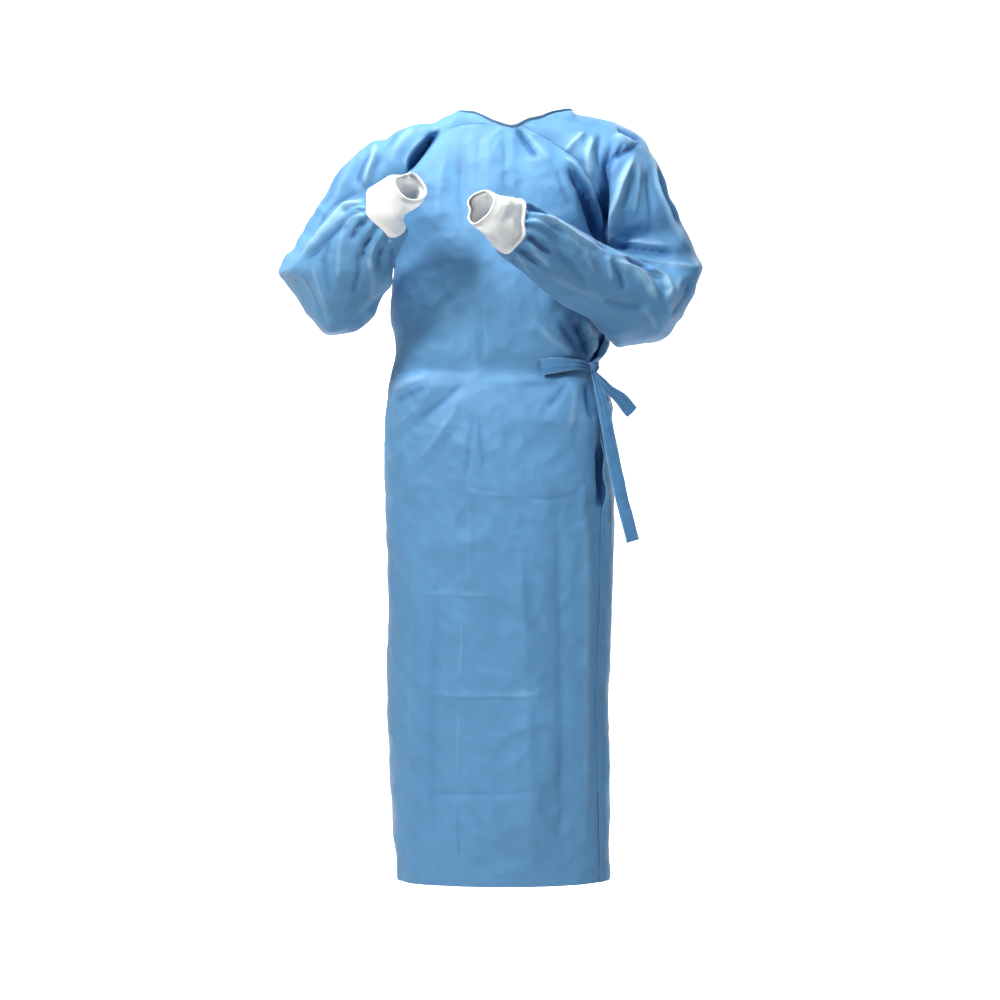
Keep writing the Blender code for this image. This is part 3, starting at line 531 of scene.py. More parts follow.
backCreases = [
    # the same, seen through the front: shoulder blades, then the waist drawn in, then the skirt
    ("all", 10, 9, 2.8, [(426, 146), (416, 184), (428, 246)]),
    ("all", 7, 6, -2.6, [(448, 150), (438, 196), (450, 256)]),
    ("body", 9, 7, 2.0, [(474, 136), (470, 180), (484, 246)]),
    ("body", 8, 9, -2.2, [(520, 152), (532, 210), (520, 290)]),
    ("all", 7, 7, 2.4, [(560, 150), (572, 190), (566, 240)]),
    ("all", 5, 5, -2.6, [(578, 156), (588, 196), (584, 240)]),
    ("right", 4, 5, 3.2, [(372, 150), (362, 186), (330, 226)]),
    ("right", 4, 4, -3.0, [(360, 152), (350, 186), (318, 222)]),
    ("right", 5, 5, 2.4, [(300, 262), (330, 280), (366, 286)]),
    ("right", 4, 4, -2.6, [(302, 284), (330, 298), (362, 300)]),
    ("left", 4, 4, 3.2, [(616, 150), (626, 200), (654, 240)]),
    ("left", 4, 4, -3.2, [(632, 152), (646, 196), (672, 232)]),
    ("left", 5, 4, 3.0, [(620, 256), (650, 262), (690, 262)]),
    ("left", 4, 4, -3.0, [(620, 270), (650, 278), (688, 280)]),
    ("left", 5, 5, 2.2, [(610, 290), (640, 306), (668, 310)]),
    ("body", 3, 5, -3.4, [(392, 372), (440, 368), (500, 369), (560, 371), (604, 369)]),
    ("body", 7, 6, 2.8, [(396, 318), (436, 346), (486, 364)]),
    ("body", 7, 6, 3.2, [(604, 336), (570, 350), (520, 358)]),
    ("body", 5, 5, -2.4, [(400, 346), (444, 360), (476, 366)]),
    ("body", 5, 5, -2.4, [(602, 346), (560, 358), (528, 366)]),
    ("body", 9, 7, 3.4, [(396, 384), (430, 402), (466, 448)]),
    ("body", 7, 9, -3.0, [(396, 404), (424, 430), (440, 486)]),
    ("body", 8, 9, 3.2, [(602, 388), (574, 408), (536, 470)]),
    ("body", 8, 7, -2.8, [(602, 410), (578, 426), (560, 466)]),
    ("body", 7, 7, 1.8, [(474, 378), (480, 404), (470, 452)]),
    ("body", 7, 6, -1.8, [(516, 376), (506, 416), (510, 468)]),
    ("body", 3, 3, 0.9, [(480, 470), (478, 560), (480, 700), (478, 870)]),
    ("body", 3, 3, 0.8, [(410, 494), (470, 497), (540, 495), (592, 497)]),
    ("body", 3, 3, -0.8, [(404, 596), (470, 594), (540, 597), (598, 595)]),
    ("body", 3, 3, 0.8, [(404, 695), (470, 697), (540, 694), (598, 696)]),
    ("body", 3, 3, -0.7, [(404, 793), (470, 791), (540, 794), (598, 792)]),
    ("body", 12, 12, 2.2, [(436, 520), (432, 640), (438, 780), (436, 880)]),
    ("body", 12, 12, -2.0, [(458, 560), (454, 680), (458, 880)]),
    ("body", 12, 12, 2.0, [(556, 520), (562, 640), (556, 780), (560, 880)]),
    ("body", 12, 12, -2.0, [(534, 560), (536, 700), (532, 880)]),
]


creasePlan = {
    "rise": 0.25,  # the share of its path over which a crease rises at each end
    "endHeight": 0.05,  # what is left of it at the very end
    "slope": 1.4,  # how sharply its slopes run out
    "narrow": 5,  # creases up to this many pixels wide carry their painted shade and highlight in full
    "turned": 0.3,  # cloth turned away from the eye further than this carries lower creases
    "side": 0.05,  # and so does the back at its sides
}


def creaseHeight(pixels, facing, name, creases):
    # the height of all creases at each point, in metres, and of the narrow ones alone, from which the painted
    # shade and highlight come
    height, narrow = np.zeros(pixels.shape[:-1]), np.zeros(pixels.shape[:-1])
    for group, leftWidth, rightWidth, most, path in creases:
        if name not in pieceGroups[group]:
            continue
        path = np.array(path, float)
        done = distances(path) / distances(path)[-1]
        nearest, place, side = np.full(height.shape, 1e9), np.zeros(height.shape), np.zeros(height.shape)
        for index, (start, end) in enumerate(zip(path, path[1:])):
            line = end - start
            share = np.clip((pixels - start) @ line / (line @ line), 0, 1)
            away = pixels - start - share[..., None] * line
            distance = np.linalg.norm(away, axis=-1)
            closer = distance < nearest
            nearest = np.where(closer, distance, nearest)
            place = np.where(closer, done[index] + share * (done[index + 1] - done[index]), place)
            side = np.where(closer, line[0] * away[..., 1] - line[1] * away[..., 0], side)
        width = np.where(side < 0, rightWidth, leftWidth) * cloth["creaseWidth"]
        ends = smoothStep(np.minimum(place, 1 - place) / creasePlan["rise"])
        ends = ends * (1 - creasePlan["endHeight"]) + creasePlan["endHeight"]
        ridge = most * ends * np.exp(-(nearest / width) ** creasePlan["slope"])
        height += ridge
        narrow += ridge * np.minimum(1, creasePlan["narrow"] / width) ** 2
    scale = facing * cloth["creaseGain"] / 1000
    return height * scale, narrow * scale


# The outline's corners: the pieces, a place in the picture, how far the cloth is pulled there, and the reach,
# all in pixels
cornerPulls = [
    # the wearer's right elbow and forearm
    ("right", (281, 262), (3, 3), 8),
    ("right", (286, 286), (6, -4), 12),
    ("right", (297, 234), (3, 1), 10),
    ("right", (290, 247), (8, 4), 11),
    ("right", (302, 229), (5, 3), 11),
    ("right", (311, 214), (6, 3), 11),
    ("right", (325, 192), (3, 2), 12),
    ("right", (368, 148), (1, 2), 8),
    ("right", (294, 300), (9, -5), 15),
    ("right", (311, 318), (1, -1), 10),
    ("right", (330, 328), (-2, 8), 13),
    ("right", (305, 306), (2, -1), 10),
    ("right", (372, 312), (2, 2), 8),
    ("right", (354, 327), (1, 5), 14),
    ("right", (386, 281), (5, 4), 11),
    ("right", (384, 137), (2, 4), 9),
    # the left elbow
    ("left", (697, 268), (7, -1), 13),
    ("left", (688, 312), (-4, -2), 14),
    ("left", (679, 328), (-3, -3), 10),
    ("left", (664, 185), (-3, 0), 16),
    ("left", (681, 218), (-3, 1), 14),
    ("left", (644, 345), (0, -2), 13),
    ("left", (617, 341), (0, 5), 9),
    ("left", (600, 124), (0, 2), 15),
    # the body's sides
    ("body", (392, 300), (-3, 0), 22),
    ("body", (391, 320), (-2, 0), 12),
    ("body", (396, 352), (1, 0), 10),
    ("left", (674, 196), (-3, 1), 11),
    ("leftCuff", (529, 224), (-5, -1), 8),
    ("body", (607, 341), (9, 3), 9),
    ("body", (603, 354), (4, 0), 7),
    ("body", (606, 375), (-3, 0), 7),
    ("body", (612, 404), (4, 0), 14),
    ("flap", (605, 474), (-4, 0), 20),
    # the neckline and the shoulders beside it
    ("neck", (484, 114), (0, 1), 10),
    ("neck", (541, 114), (0, 5), 12),
    ("neck", (505, 126), (0, -4), 12),
    ("neck", (459, 117), (-1, -2), 6),
    ("neck", (569, 114), (2, -3), 7),
    ("shoulder", (434, 121), (1, 4), 11),
    # the cuffs
    ("rightCuff", (399, 168), (5, 6), 9),
    ("rightCuff", (412, 219), (-9, 1), 9),
    ("rightCuff", (363, 200), (5, 5), 10),
    ("rightCuff", (394, 233), (-2, 6), 10),
    ("leftCuff", (531, 213), (-6, 3), 10),
    ("leftCuff", (464, 212), (5, -1), 9),
    ("leftCuff", (505, 250), (2, 4), 9),
    ("leftCuff", (501, 193), (0, 4), 9),
    # the ties
    ("knot", (598, 367), (-6, 1), 13),
    ("shortTail", (630, 404), (-1, 6), 18),
    ("shortTail", (611, 380), (-3, 7), 13),
    ("endTail", (541, 357), (-1, 3), 8),
]


pullLimits = {
    "nape": (0.03, 0.04),  # the neck's pulls end at this depth, over this length
    "flap": 0.4,  # how far the flap faces the front where its pull is whole
}


def pulledCorners(grid, name):
    pixels = inPicture(grid)
    depth = (grid[..., 1] - camera["place"][1]) / -camera["place"][1] * camera["pictureScale"]
    moved = grid.copy()
    for group, place, pull, reach in cornerPulls:
        if name in pieceGroups[group]:
            share = np.exp(-(np.linalg.norm(pixels - np.array(place), axis=-1) / reach) ** 2) * depth
            if group == "neck":
                end, length = pullLimits["nape"]
                share = share * smoothStep((end - grid[..., 1]) / length)
            if group == "flap":
                share = share * smoothStep(-gridNormals(grid)[..., 1] / pullLimits["flap"])
            moved[..., 0] += pull[0] * share
            moved[..., 2] -= pull[1] * share
    return moved


noisePlan = {"waves": 28, "shortest": 0.75, "longest": 1.5, "strength": 0.7}


def softNoise(points, wavelength, seed):
    # a smooth random field between about -1 and 1
    draw, count = np.random.default_rng(seed), noisePlan["waves"]
    aims = unit(draw.normal(size=(count, 3))) * 2 * math.pi
    waves = aims / (wavelength * draw.uniform(noisePlan["shortest"], noisePlan["longest"], (count, 1)))
    phases = draw.uniform(0, 2 * math.pi, count)
    return np.cos(points @ waves.T + phases).sum(axis=-1) * math.sqrt(noisePlan["strength"] / count)


crumples = (
    # wavelength, seed of the random field and height, in metres
    (0.16, 11, 0.0017),
    (0.07, 23, 0.0010),
    (0.034, 37, 0.0005),
)
crumpleSharpness = 1.4


def crumple(points):
    # the faceted unrest of stiff nonwoven cloth, in metres
    return sum(height * (1 - abs(softNoise(points, wavelength, seed)) * crumpleSharpness)
               for wavelength, seed, height in crumples)


def creasedSheets(sheets):
    normals = sewnNormals(sheets)
    eye, middle, scale = np.array(camera["place"]), camera["pictureCentre"], camera["pictureScale"]
    done, paintedShading = {}, {}
    for name, grid in sheets.items():
        normal = normals[name]
        seen = smoothStep((normal * unit(eye - grid)).sum(axis=-1) / creasePlan["turned"])
        behind = smoothStep((normal[..., 1] - creasePlan["side"]) / creasePlan["turned"])
        # the picture's pixels again, laid straight through to the back
        backPixels = [middle + grid[..., 0] / scale, middle - (grid[..., 2] - eye[2]) / scale]
        backPixels = np.stack(backPixels, axis=-1)
        height, narrow = creaseHeight(inPicture(grid), seen, name, frontCreases)
        heightBehind, narrowBehind = creaseHeight(backPixels, behind, name, backCreases)
        # painted shade in narrow troughs and painted highlight on narrow ridges, from their heights
        paintedShading[name] = np.tanh((narrow + narrowBehind) / cloth["paintedShadingHeight"])
        height += heightBehind + crumple(grid)
        along = cutMap(grid)[..., 1]
        spacing = np.linalg.norm(np.gradient(grid, axis=0), axis=-1) / gownPieces[name]["rowStep"]
        calm = smoothStep(along / cloth["neckRest"])
        calm = calm * smoothStep(softened(spacing, cloth["spacingRounds"]) / cloth["bunched"])
        if name.startswith("sleeve"):
            calm = calm * smoothStep((along[-1:] - along) / cloth["cuffRest"])
        done[name] = pulledCorners(grid + normal * (height * calm)[..., None], name)
        paintedShading[name] *= calm
    return done, paintedShading


def withRim(grid, flat, side, steps):
    # more rows beyond a border: each step goes out from the border and down under the cloth
    where, inner = nearEdge(side), nearEdge(side, 1)
    border, flatBorder = grid[where], flat[where]
    normal = gridNormals(grid)[where]
    along = unit(np.gradient(border, axis=0))
    out = border - grid[inner]
    out -= (out * along).sum(axis=-1, keepdims=True) * along
    out = unit(out - (out * normal).sum(axis=-1, keepdims=True) * normal)
    flatOut = flatBorder - flat[inner]
    flatOut[..., 2:] = 0  # the painted shade and highlight stay as they are
    flatOut = unit(flatOut)
    axis = 1 if side in ("first", "last") else 0
    lines = [border + out * far - normal * deep for far, deep in steps]
    flatLines = [flatBorder + flatOut * (far + deep) for far, deep in steps]
    wider = []
    for sheet, more in ((grid, lines), (flat, flatLines)):
        before = side in ("first", "top")
        more = np.stack(more[::-1] if before else more, axis=axis)
        wider.append(np.concatenate([more, sheet] if before else [sheet, more], axis=axis))
    return wider


def shell(name, grid, flat, thickness, closed=False, stride=3):
    # a closed thin wall: the grid outside, every few of its points inside, and a rim between them
    rows, columns = grid.shape[:2]
    innerRows = sorted(set(range(0, rows, stride)) | {rows - 1})
    innerColumns = sorted(set(range(0, columns, stride)) | {columns - 1})
    pick = np.ix_(innerRows, innerColumns)
    deep = np.broadcast_to(np.asarray(thickness), grid.shape[:2])[pick]
    inner = grid[pick] - gridNormals(grid, closed)[pick] * deep[..., None]
    outerUv = np.arange(rows * columns).reshape(rows, columns)
    innerUv = rows * columns + np.arange(inner.shape[0] * inner.shape[1]).reshape(inner.shape[:2])
    outerPoint, innerPoint = outerUv.copy(), innerUv.copy()
    if closed:
        outerPoint[:, -1], innerPoint[:, -1] = outerPoint[:, 0], innerPoint[:, 0]

    def quads(index, outwards):
        corners = [index[:-1, :-1], index[:-1, 1:], index[1:, 1:], index[1:, :-1]]
        return np.stack(corners[::-1] if outwards else corners, axis=-1).reshape(-1, 4)

    faces = quads(outerPoint, True).tolist() + quads(innerPoint, False).tolist()
    uvs = quads(outerUv, True).tolist() + quads(innerUv, False).tolist()
    sides = [[(0, c) for c in innerColumns], [(rows - 1, c) for c in reversed(innerColumns)]]
    if not closed:
        sides += [[(r, columns - 1) for r in innerRows], [(r, 0) for r in reversed(innerRows)]]
    for side in sides:
        for (r0, c0), (r1, c1) in zip(side, side[1:]):
            count = max(abs(r1 - r0), abs(c1 - c0))
            path = [(r0 + (r1 - r0) * k // count, c0 + (c1 - c0) * k // count) for k in range(count + 1)]
            back = [(innerRows.index(row), innerColumns.index(column)) for row, column in ((r1, c1), (r0, c0))]
            faces.append([outerPoint[at] for at in path] + [innerPoint[at] for at in back])
            uvs.append([outerUv[at] for at in path] + [innerUv[at] for at in back])
    points = np.concatenate([grid.reshape(-1, 3), inner.reshape(-1, 3)])
    piece = meshPiece(name, points.tolist(), faces)
    mesh = piece.data
    layer = mesh.uv_layers.new(name="cutMap")
    pool = np.concatenate([flat.reshape(-1, flat.shape[-1]), flat[pick].reshape(-1, flat.shape[-1])])
    layer.data.foreach_set("uv", pool[np.concatenate([np.array(loop) for loop in uvs]), :2].reshape(-1))
    # the painted shade of crease troughs and painted highlight of ridges, for each point
    tone = mesh.attributes.new("paintedShadeHighlight", "FLOAT", "POINT")
    tone.data.foreach_set("value", pool[:, 2:].sum(axis=1))
    if closed:  # the last column's own points are not used
        work = bmesh.new()
        work.from_mesh(mesh)
        bmesh.ops.delete(work, geom=[point for point in work.verts if not point.link_faces], context="VERTS")
        work.to_mesh(mesh)
        work.free()
    return piece


hemPlan = {
    "rows": (0.0006, 0.0016, 0.004),  # extra rows, by their distance from the cloth's edge
    "innerRows": (-0.0046, -0.0034, -0.0027, -0.002, -0.0013, -0.0005, 0.0006, 0.0018),  # and from the hem's
    "apart": 0.0007,  # a row of the cloth nearer than this to an extra one is left out
    "stitch": 0.002,  # the stitches' distance from the hem's inner edge
    "rise": 0.00045,  # how much higher the doubled cloth stands
    "slope": 0.001,
    "sink": (0.00035, 0.0009),  # how deep and how wide the stitches pull it in
    "fold": (0.0003, 0.0006),  # and how the folded edge rounds off
}


def moreLines(grid, flat, side, extra):
    # extra rows or columns at the given distances from an edge
    axis = 0 if side in ("top", "bottom") else 1
    values, flatValues = np.moveaxis(grid, axis, 0), np.moveaxis(flat, axis, 0)
    knots = distances(values)
    extra = knots[-1] - extra if side in ("last", "bottom") else extra
    ends = (knots[0], knots[-1])
    kept = [knot for knot in knots if knot in ends or abs(extra - knot).min() > hemPlan["apart"]]
    places = np.sort(np.concatenate([kept, extra]))
    return (np.moveaxis(curveThrough(values, knots, places), 0, axis),
            np.moveaxis(curveThrough(flatValues, knots, places), 0, axis))


def edgeDistance(grid, side):
    # how far each row or column lies from an edge, on average over the other direction
    axis = 0 if side in ("top", "bottom") else 1
    knots = distances(np.moveaxis(grid, axis, 0))
    away = knots[-1] - knots if side in ("last", "bottom") else knots
    return away[:, None] if axis == 0 else away[None, :]


def hemmed(grid, flat, side, width):
    # a double hem with its line of stitches: the grid, the flat map, and where the stitches run
    stitch = width - hemPlan["stitch"]
    extra = np.array([*hemPlan["rows"], *(width + beyond for beyond in hemPlan["innerRows"])])
    grid, flat = moreLines(grid, flat, side, extra)
    away = edgeDistance(grid, side)
    step = hemPlan["rise"] * (1 - smoothStep((away - width) / hemPlan["slope"]))
    for middle, (depth, reach) in ((stitch, hemPlan["sink"]), (0, hemPlan["fold"])):
        step = step - depth * np.exp(-((away - middle) / reach) ** 2)
    grid = grid + gridNormals(grid) * step[..., None]
    line = int(abs(away.reshape(-1) - stitch).argmin())
    where = line if side in ("top", "bottom") else (slice(None), line)
    return grid, flat, grid[where], gridNormals(grid)[where]


stitchLines = []  # the piece that each line is on, its points and the way it faces


def hemmedAll(name, grid, flat, hems, endRest=0):
    # a hem along each given edge, and one for each point where the cloth is doubled
    for side, width in hems:
        grid, flat, line, facing = hemmed(grid, flat, side, width)
        run = slice(endRest, len(line) - endRest) if side == "bottom" else slice(None)
        stitchLines.append((name, line[run], facing[run]))
    doubled = np.zeros(grid.shape[:2])
    for side, width in hems:
        doubled = np.maximum(doubled, 1 - smoothStep((edgeDistance(grid, side) - width) / hemPlan["slope"]))
    return grid, flat, doubled


slit = {
    # where the wrap's free edge stands off, in pixels down the picture, and how fast it closes
    "top": 436,
    "topFade": 24,
    "bottom": 514,
    "bottomFade": 26,
    "lift": 0.010,
    "close": 0.0020,
    "width": 0.012,
}


def openedSlit(grid):
    down = inPicture(grid)[..., 1]
    window = smoothStep((down - slit["top"]) / slit["topFade"])
    window = window * smoothStep((slit["bottom"] - down) / slit["bottomFade"])
    away = edgeDistance(grid, "last")
    lift = slit["lift"] * window - slit["close"] * (1 - window)
    return grid + gridNormals(grid) * (lift * np.exp(-(away / slit["width"]) ** 2))[..., None]


stitching = {
    "pitch": 0.0042,
    "length": 0.0029,
    "thickness": 0.00042,
    "sides": 5,
    "ring": 0.7,  # where its two rings lie, as a share of half its length
    "ringSize": 0.96,  # and how wide they are, as a share of its thickness
}


def stitchMesh(name, lines):
    # small threads laid end to end along each line
    points, faces = [], []
    half, thick, sides = stitching["length"] / 2, stitching["thickness"] / 2, stitching["sides"]
    for line, facing in lines:
        knots = distances(line)
        places = np.arange(stitching["pitch"], knots[-1] - stitching["pitch"], stitching["pitch"])
        middle, up, ahead = (np.stack([np.interp(places, knots, values[:, axis]) for axis in range(3)], axis=-1)
                             for values in (line, facing, unit(np.gradient(line, axis=0))))
        up, ahead = unit(up), unit(ahead)
        for centre, along, across, over in zip(middle, ahead, np.cross(up, ahead), up):
            base = len(points)
            points.append(centre - along * half - over * thick)
            for share in (-stitching["ring"], stitching["ring"]):
                for corner in range(sides):
                    turn = 2 * math.pi * corner / sides
                    away = across * math.cos(turn) + over * math.sin(turn)
                    points.append(centre + along * half * share + away * thick * stitching["ringSize"])
            points.append(centre + along * half - over * thick)
            for corner in range(sides):
                near, nearBeside = base + 1 + corner, base + 1 + (corner + 1) % sides
                far, farBeside = near + sides, nearBeside + sides
                faces.append((base, nearBeside, near))
                faces.append((near, nearBeside, farBeside, far))
                faces.append((base + 1 + 2 * sides, far, farBeside))
    return meshPiece(name, [tuple(point) for point in points], faces)


hems = {
    # edge, width of the hem
    "front": (("bottom", cloth["hemWidth"]),),
    "back_right": (("bottom", cloth["hemWidth"]), ("last", cloth["edgeHemWidth"])),
    "back_left": (("bottom", cloth["hemWidth"]), ("first", cloth["edgeHemWidth"])),
    "sleeve_right": (),
    "sleeve_left": (),
}
# a turned edge: how far each row goes out, and how far down under the cloth
seamRoll = ((0.0001, 0.00025), (0.00012, 0.0013), (0.00006, cloth["allowance"]))
cuffEdgeRoll = ((0.0005, 0.0005), (0.0006, 0.002), (0.0002, 0.006))

finished = {}
creased, paintedShading = creasedSheets(sheets)
print("creases laid")
for name, grid in creased.items():
    # the cut map, with the painted shade and highlight as a third value
    flat = np.concatenate([cutMap(sheets[name]), paintedShading[name][..., None]], axis=-1)
    if name == "back_right":
        grid = openedSlit(grid)
    grid, flat, doubled = hemmedAll(name, grid, flat, hems[name])
    rims = [(side, seamRoll) for side in gownPieces[name]["seams"]]
    if name.startswith("sleeve"):
        rims.append(("bottom", cuffEdgeRoll))
    for side, steps in rims:
        grid, flat = withRim(grid, flat, side, steps)
        more = (len(steps), 0) if side == "first" else (0, len(steps))
        doubled = np.pad(doubled, [(0, 0), more] if side in ("first", "last") else [more, (0, 0)], mode="edge")
    finished[name] = shell(name + "Cloth", grid, flat, cloth["thickness"] * (1 + doubled))
print("panels made:", sum(len(piece.data.polygons) for piece in finished.values()), "faces")


cuffPlan = {
    "thickness": 0.0014,
    "rowStep": 0.0017,
    "ribs": 84,
    "perRib": 4,
    "ribHeight": 0.00034,
    "ribFade": 0.003,  # the ribs die out at the rim
    "buckle": 0.0030,
    "buckleWaves": ((1, 0.055), (0.5, 0.028)),  # strength and wavelength
    "calm": 0.012,  # and the buckling at the sleeve
    "bead": (0.0026, 0.0035, 0.0032),  # height, place and width of the seam to the sleeve, which stands proud
    "hem": (0.0006, 0.013),  # how much it thickens the cuff, and its width
    "spareColumns": 4,  # columns that a ring's curve runs on beyond its end
    # the edges at the sleeve and at the hand: how far each row goes out, and how far down under the cloth
    "rims": {"top": ((0.0006, 0.0006), (0.0008, 0.002), (0.0002, 0.005)),
             "bottom": ((0.0008, 0.0003), (0.0011, 0.0010), (0.0009, 0.0018), (0.0, 0.0024), (-0.008, 0.0027))},
}


def closedFiner(grid, columns):
    # a closed ring grid with evenly spaced columns
    spare = cuffPlan["spareColumns"]
    wide = np.concatenate([grid[:, -spare - 1:-1], grid, grid[:, 1:spare + 1]], axis=1)
    knots = np.arange(wide.shape[1], dtype=float)
    places = np.linspace(spare, wide.shape[1] - spare - 1, columns + 1)
    return np.moveaxis(curveThrough(np.moveaxis(wide, 1, 0), knots, places), 0, 1)


def makeCuff(name, seed):
    coarse = tubeGrid(name, cadWalls["cuff"], sheets[name.replace("cuff", "sleeve")][-1].mean(axis=0))
    grid = closedFiner(coarse, cuffPlan["ribs"] * cuffPlan["perRib"])
    grid = finer(grid, cuffPlan["rowStep"], 1)
    flat = cutMap(grid)
    along = flat[..., 1].mean(axis=1)[:, None]
    length = along[-1, 0]
    turn = np.linspace(0, 2 * math.pi, grid.shape[1])[None, :]
    rib = np.cos(turn * cuffPlan["ribs"]) * cuffPlan["ribHeight"]
    rib = rib * smoothStep((length - along) / cuffPlan["ribFade"])
    waves = sum(strength * softNoise(grid, wavelength, seed + number)
                for number, (strength, wavelength) in enumerate(cuffPlan["buckleWaves"]))
    buckle = cuffPlan["buckle"] * smoothStep(along / cuffPlan["calm"]) * waves
    height, middle, width = cuffPlan["bead"]
    bead = height * np.exp(-((along - middle) / width) ** 2)
    thicker, hemWidth = cuffPlan["hem"]
    hem = thicker * smoothStep((along - length + hemWidth) / hemPlan["slope"])
    normal = gridNormals(grid, True)
    grid = pulledCorners(grid + normal * (rib + buckle + bead + hem)[..., None], name)
    for side, steps in cuffPlan["rims"].items():
        grid, flat = withRim(grid, flat, side, steps)
    grid[:, -1] = grid[:, 0]
    return shell(name.replace("cuff_", "knitCuff"), grid, flat, cuffPlan["thickness"], closed=True, stride=2)


for name, seed in (("cuff_right", 5), ("cuff_left", 9)):
    finished[name] = makeCuff(name, seed)
print("cuffs knitted")


bindingPlan = {
    "columns": 116,  # of the CAD strip
    "step": 0.0035,
    "thickness": 0.0004,
    "sink": 0.00055,  # how much nearer to the neck the tape lies than its section says
    "ripple": (0.0002, 0.02, 3),  # height, wavelength and seed
    "stitchRow": 3,  # the row of the section that is stitched
    # the tape's section, folded over the edge: height over the strip's lower edge, and depth outwards
    "section": ((-0.0026, 0.0006), (-0.0012, 0.0008), (0.0002, 0.0009), (0.0011, 0.0011), (0.0020, 0.0012),
                (0.0029, 0.0010), (0.0035, 0.0005), (0.0037, -0.0003), (0.0035, -0.0011), (0.0029, -0.0018),
                (0.0020, -0.0020), (0.0010, -0.0019), (0.0, -0.0017), (-0.0026, -0.0015)),
}


def makeBinding():
    strip = sheetGrid("neck_binding", bindingPlan["columns"], cadWalls["binding"], topFirst=False)
    low, high = sorted((strip[0], strip[-1]), key=lambda edge: edge[:, 2].mean())
    knots = distances(low)
    places = np.linspace(0, knots[-1], round(knots[-1] / bindingPlan["step"]))
    low, high = (pulledCorners(curveThrough(edge, knots, places), "neck_binding") for edge in (low, high))
    rise, along = unit(high - low), unit(np.gradient(low, axis=0))
    out = unit(np.cross(along, rise))
    if (out * (low - low.mean(axis=0))).sum() < 0:
        out = -out
    sink = bindingPlan["sink"]
    grid = np.stack([low + rise * up + out * (depth - sink) for up, depth in bindingPlan["section"]])
    height, wavelength, seed = bindingPlan["ripple"]
    grid = grid + gridNormals(grid) * (height * softNoise(grid, wavelength, seed)[..., None])
    if (gridNormals(grid)[0] * out).sum() < 0:
        grid = grid[:, ::-1]
    row = bindingPlan["stitchRow"]
    stitchLines.append(("neck_binding", grid[row], gridNormals(grid)[row]))
    return shell("neckTape", grid, cutMap(grid), bindingPlan["thickness"], stride=1)


finished["neck_binding"] = makeBinding()
print("neck bound")


tiePlan = {
    # spacing of rows, height of the pleats at the knot and how far they run
    "tie_end": {"piece": "tieFlatEnd", "step": 0.0022, "pleat": 0.0011, "reach": 0.028},
    "tie_short": {"piece": "tieShortTail", "step": 0.0022, "pleat": 0.0011, "reach": 0.026},
    "tie_long": {"piece": "tieLongTail", "step": 0.0024, "pleat": 0.0010, "reach": 0.036},
    "columnStep": 0.0012,
    "thickness": 0.0005,
    "hemWidth": 0.0045,
    "endHem": 0.010,
    "endRest": 4,  # columns without a stitch at each end of the end's hem
    "lead": (0.7, 0.45),  # the ribbon runs on into the knot: its width there, and how far, as shares
    "pleats": ((1, 9, 0.6), (0.5, 15, 2)),  # strength, number and phase of the waves across the ribbon
    "sags": ((0.0009, 0.045), (0.0004, 0.018)),  # height and wavelength
    "tone": (-0.4, 0.8, 0.0007),  # painted tones: of plain cloth, below zero so the whole ribbon takes some of the deep colour; of a pleat, painted shade in its hollows and a painted highlight on its crests; and the height at which a pleat has it
    "edgeHighlight": (1.3, 0.1),  # a painted highlight along the ribbon's edges: strength, and width as a share of half the ribbon's
}
knotMiddle = np.mean([vertex.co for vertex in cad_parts["tie_knot"].data.vertices], axis=0)


def makeTie(name, seed):
    plan = tiePlan[name]
    coarse = sheetGrid(name, 2, cadWalls["tie"], topFirst=False)
    nearEnd, farEnd = (np.linalg.norm(coarse[row].mean(axis=0) - knotMiddle) for row in (0, -1))
    if nearEnd > farEnd:
        coarse = coarse[::-1, ::-1]
    middle, (width, into) = coarse[0].mean(axis=0), tiePlan["lead"]
    lead = middle + (coarse[0] - middle) * width + (knotMiddle - middle) * into
    coarse = np.concatenate([lead[None], coarse])
    grid = pulledCorners(finer(coarse, plan["step"], tiePlan["columnStep"]), name)
    flat = cutMap(grid)
    across = flat[..., 0] / abs(flat[..., 0]).max(axis=1, keepdims=True)
    waves = sum(strength * np.cos(across * number + phase) for strength, number, phase in tiePlan["pleats"])
    pleats = plan["pleat"] * np.exp(-flat[..., 1] / plan["reach"]) * waves
    sag = sum(height * softNoise(grid, wavelength, seed + number)
              for number, (height, wavelength) in enumerate(tiePlan["sags"]))
    grid = grid + gridNormals(grid) * (pleats + sag)[..., None]
    plain, pleated, pleatHeight = tiePlan["tone"]
    highlightStrength, edgeWidth = tiePlan["edgeHighlight"]
    # painted shade in pleat hollows, painted highlight on pleat crests and along the edges
    tone = plain + pleated * np.tanh(pleats / pleatHeight)
    tone = tone + highlightStrength * np.exp(-((1 - abs(across)) / edgeWidth) ** 2)
    flat = np.concatenate([flat, tone[..., None]], axis=-1)
    edges = [(side, tiePlan["hemWidth"]) for side in ("first", "last")] + [("bottom", tiePlan["endHem"])]
    grid, flat, doubled = hemmedAll(name, grid, flat, edges, tiePlan["endRest"])
    return shell(plan["piece"], grid, flat, tiePlan["thickness"] * (1 + doubled), stride=1)


for name, seed in (("tie_end", 41), ("tie_short", 43), ("tie_long", 47)):
    finished[name] = makeTie(name, seed)
print("ties hung")


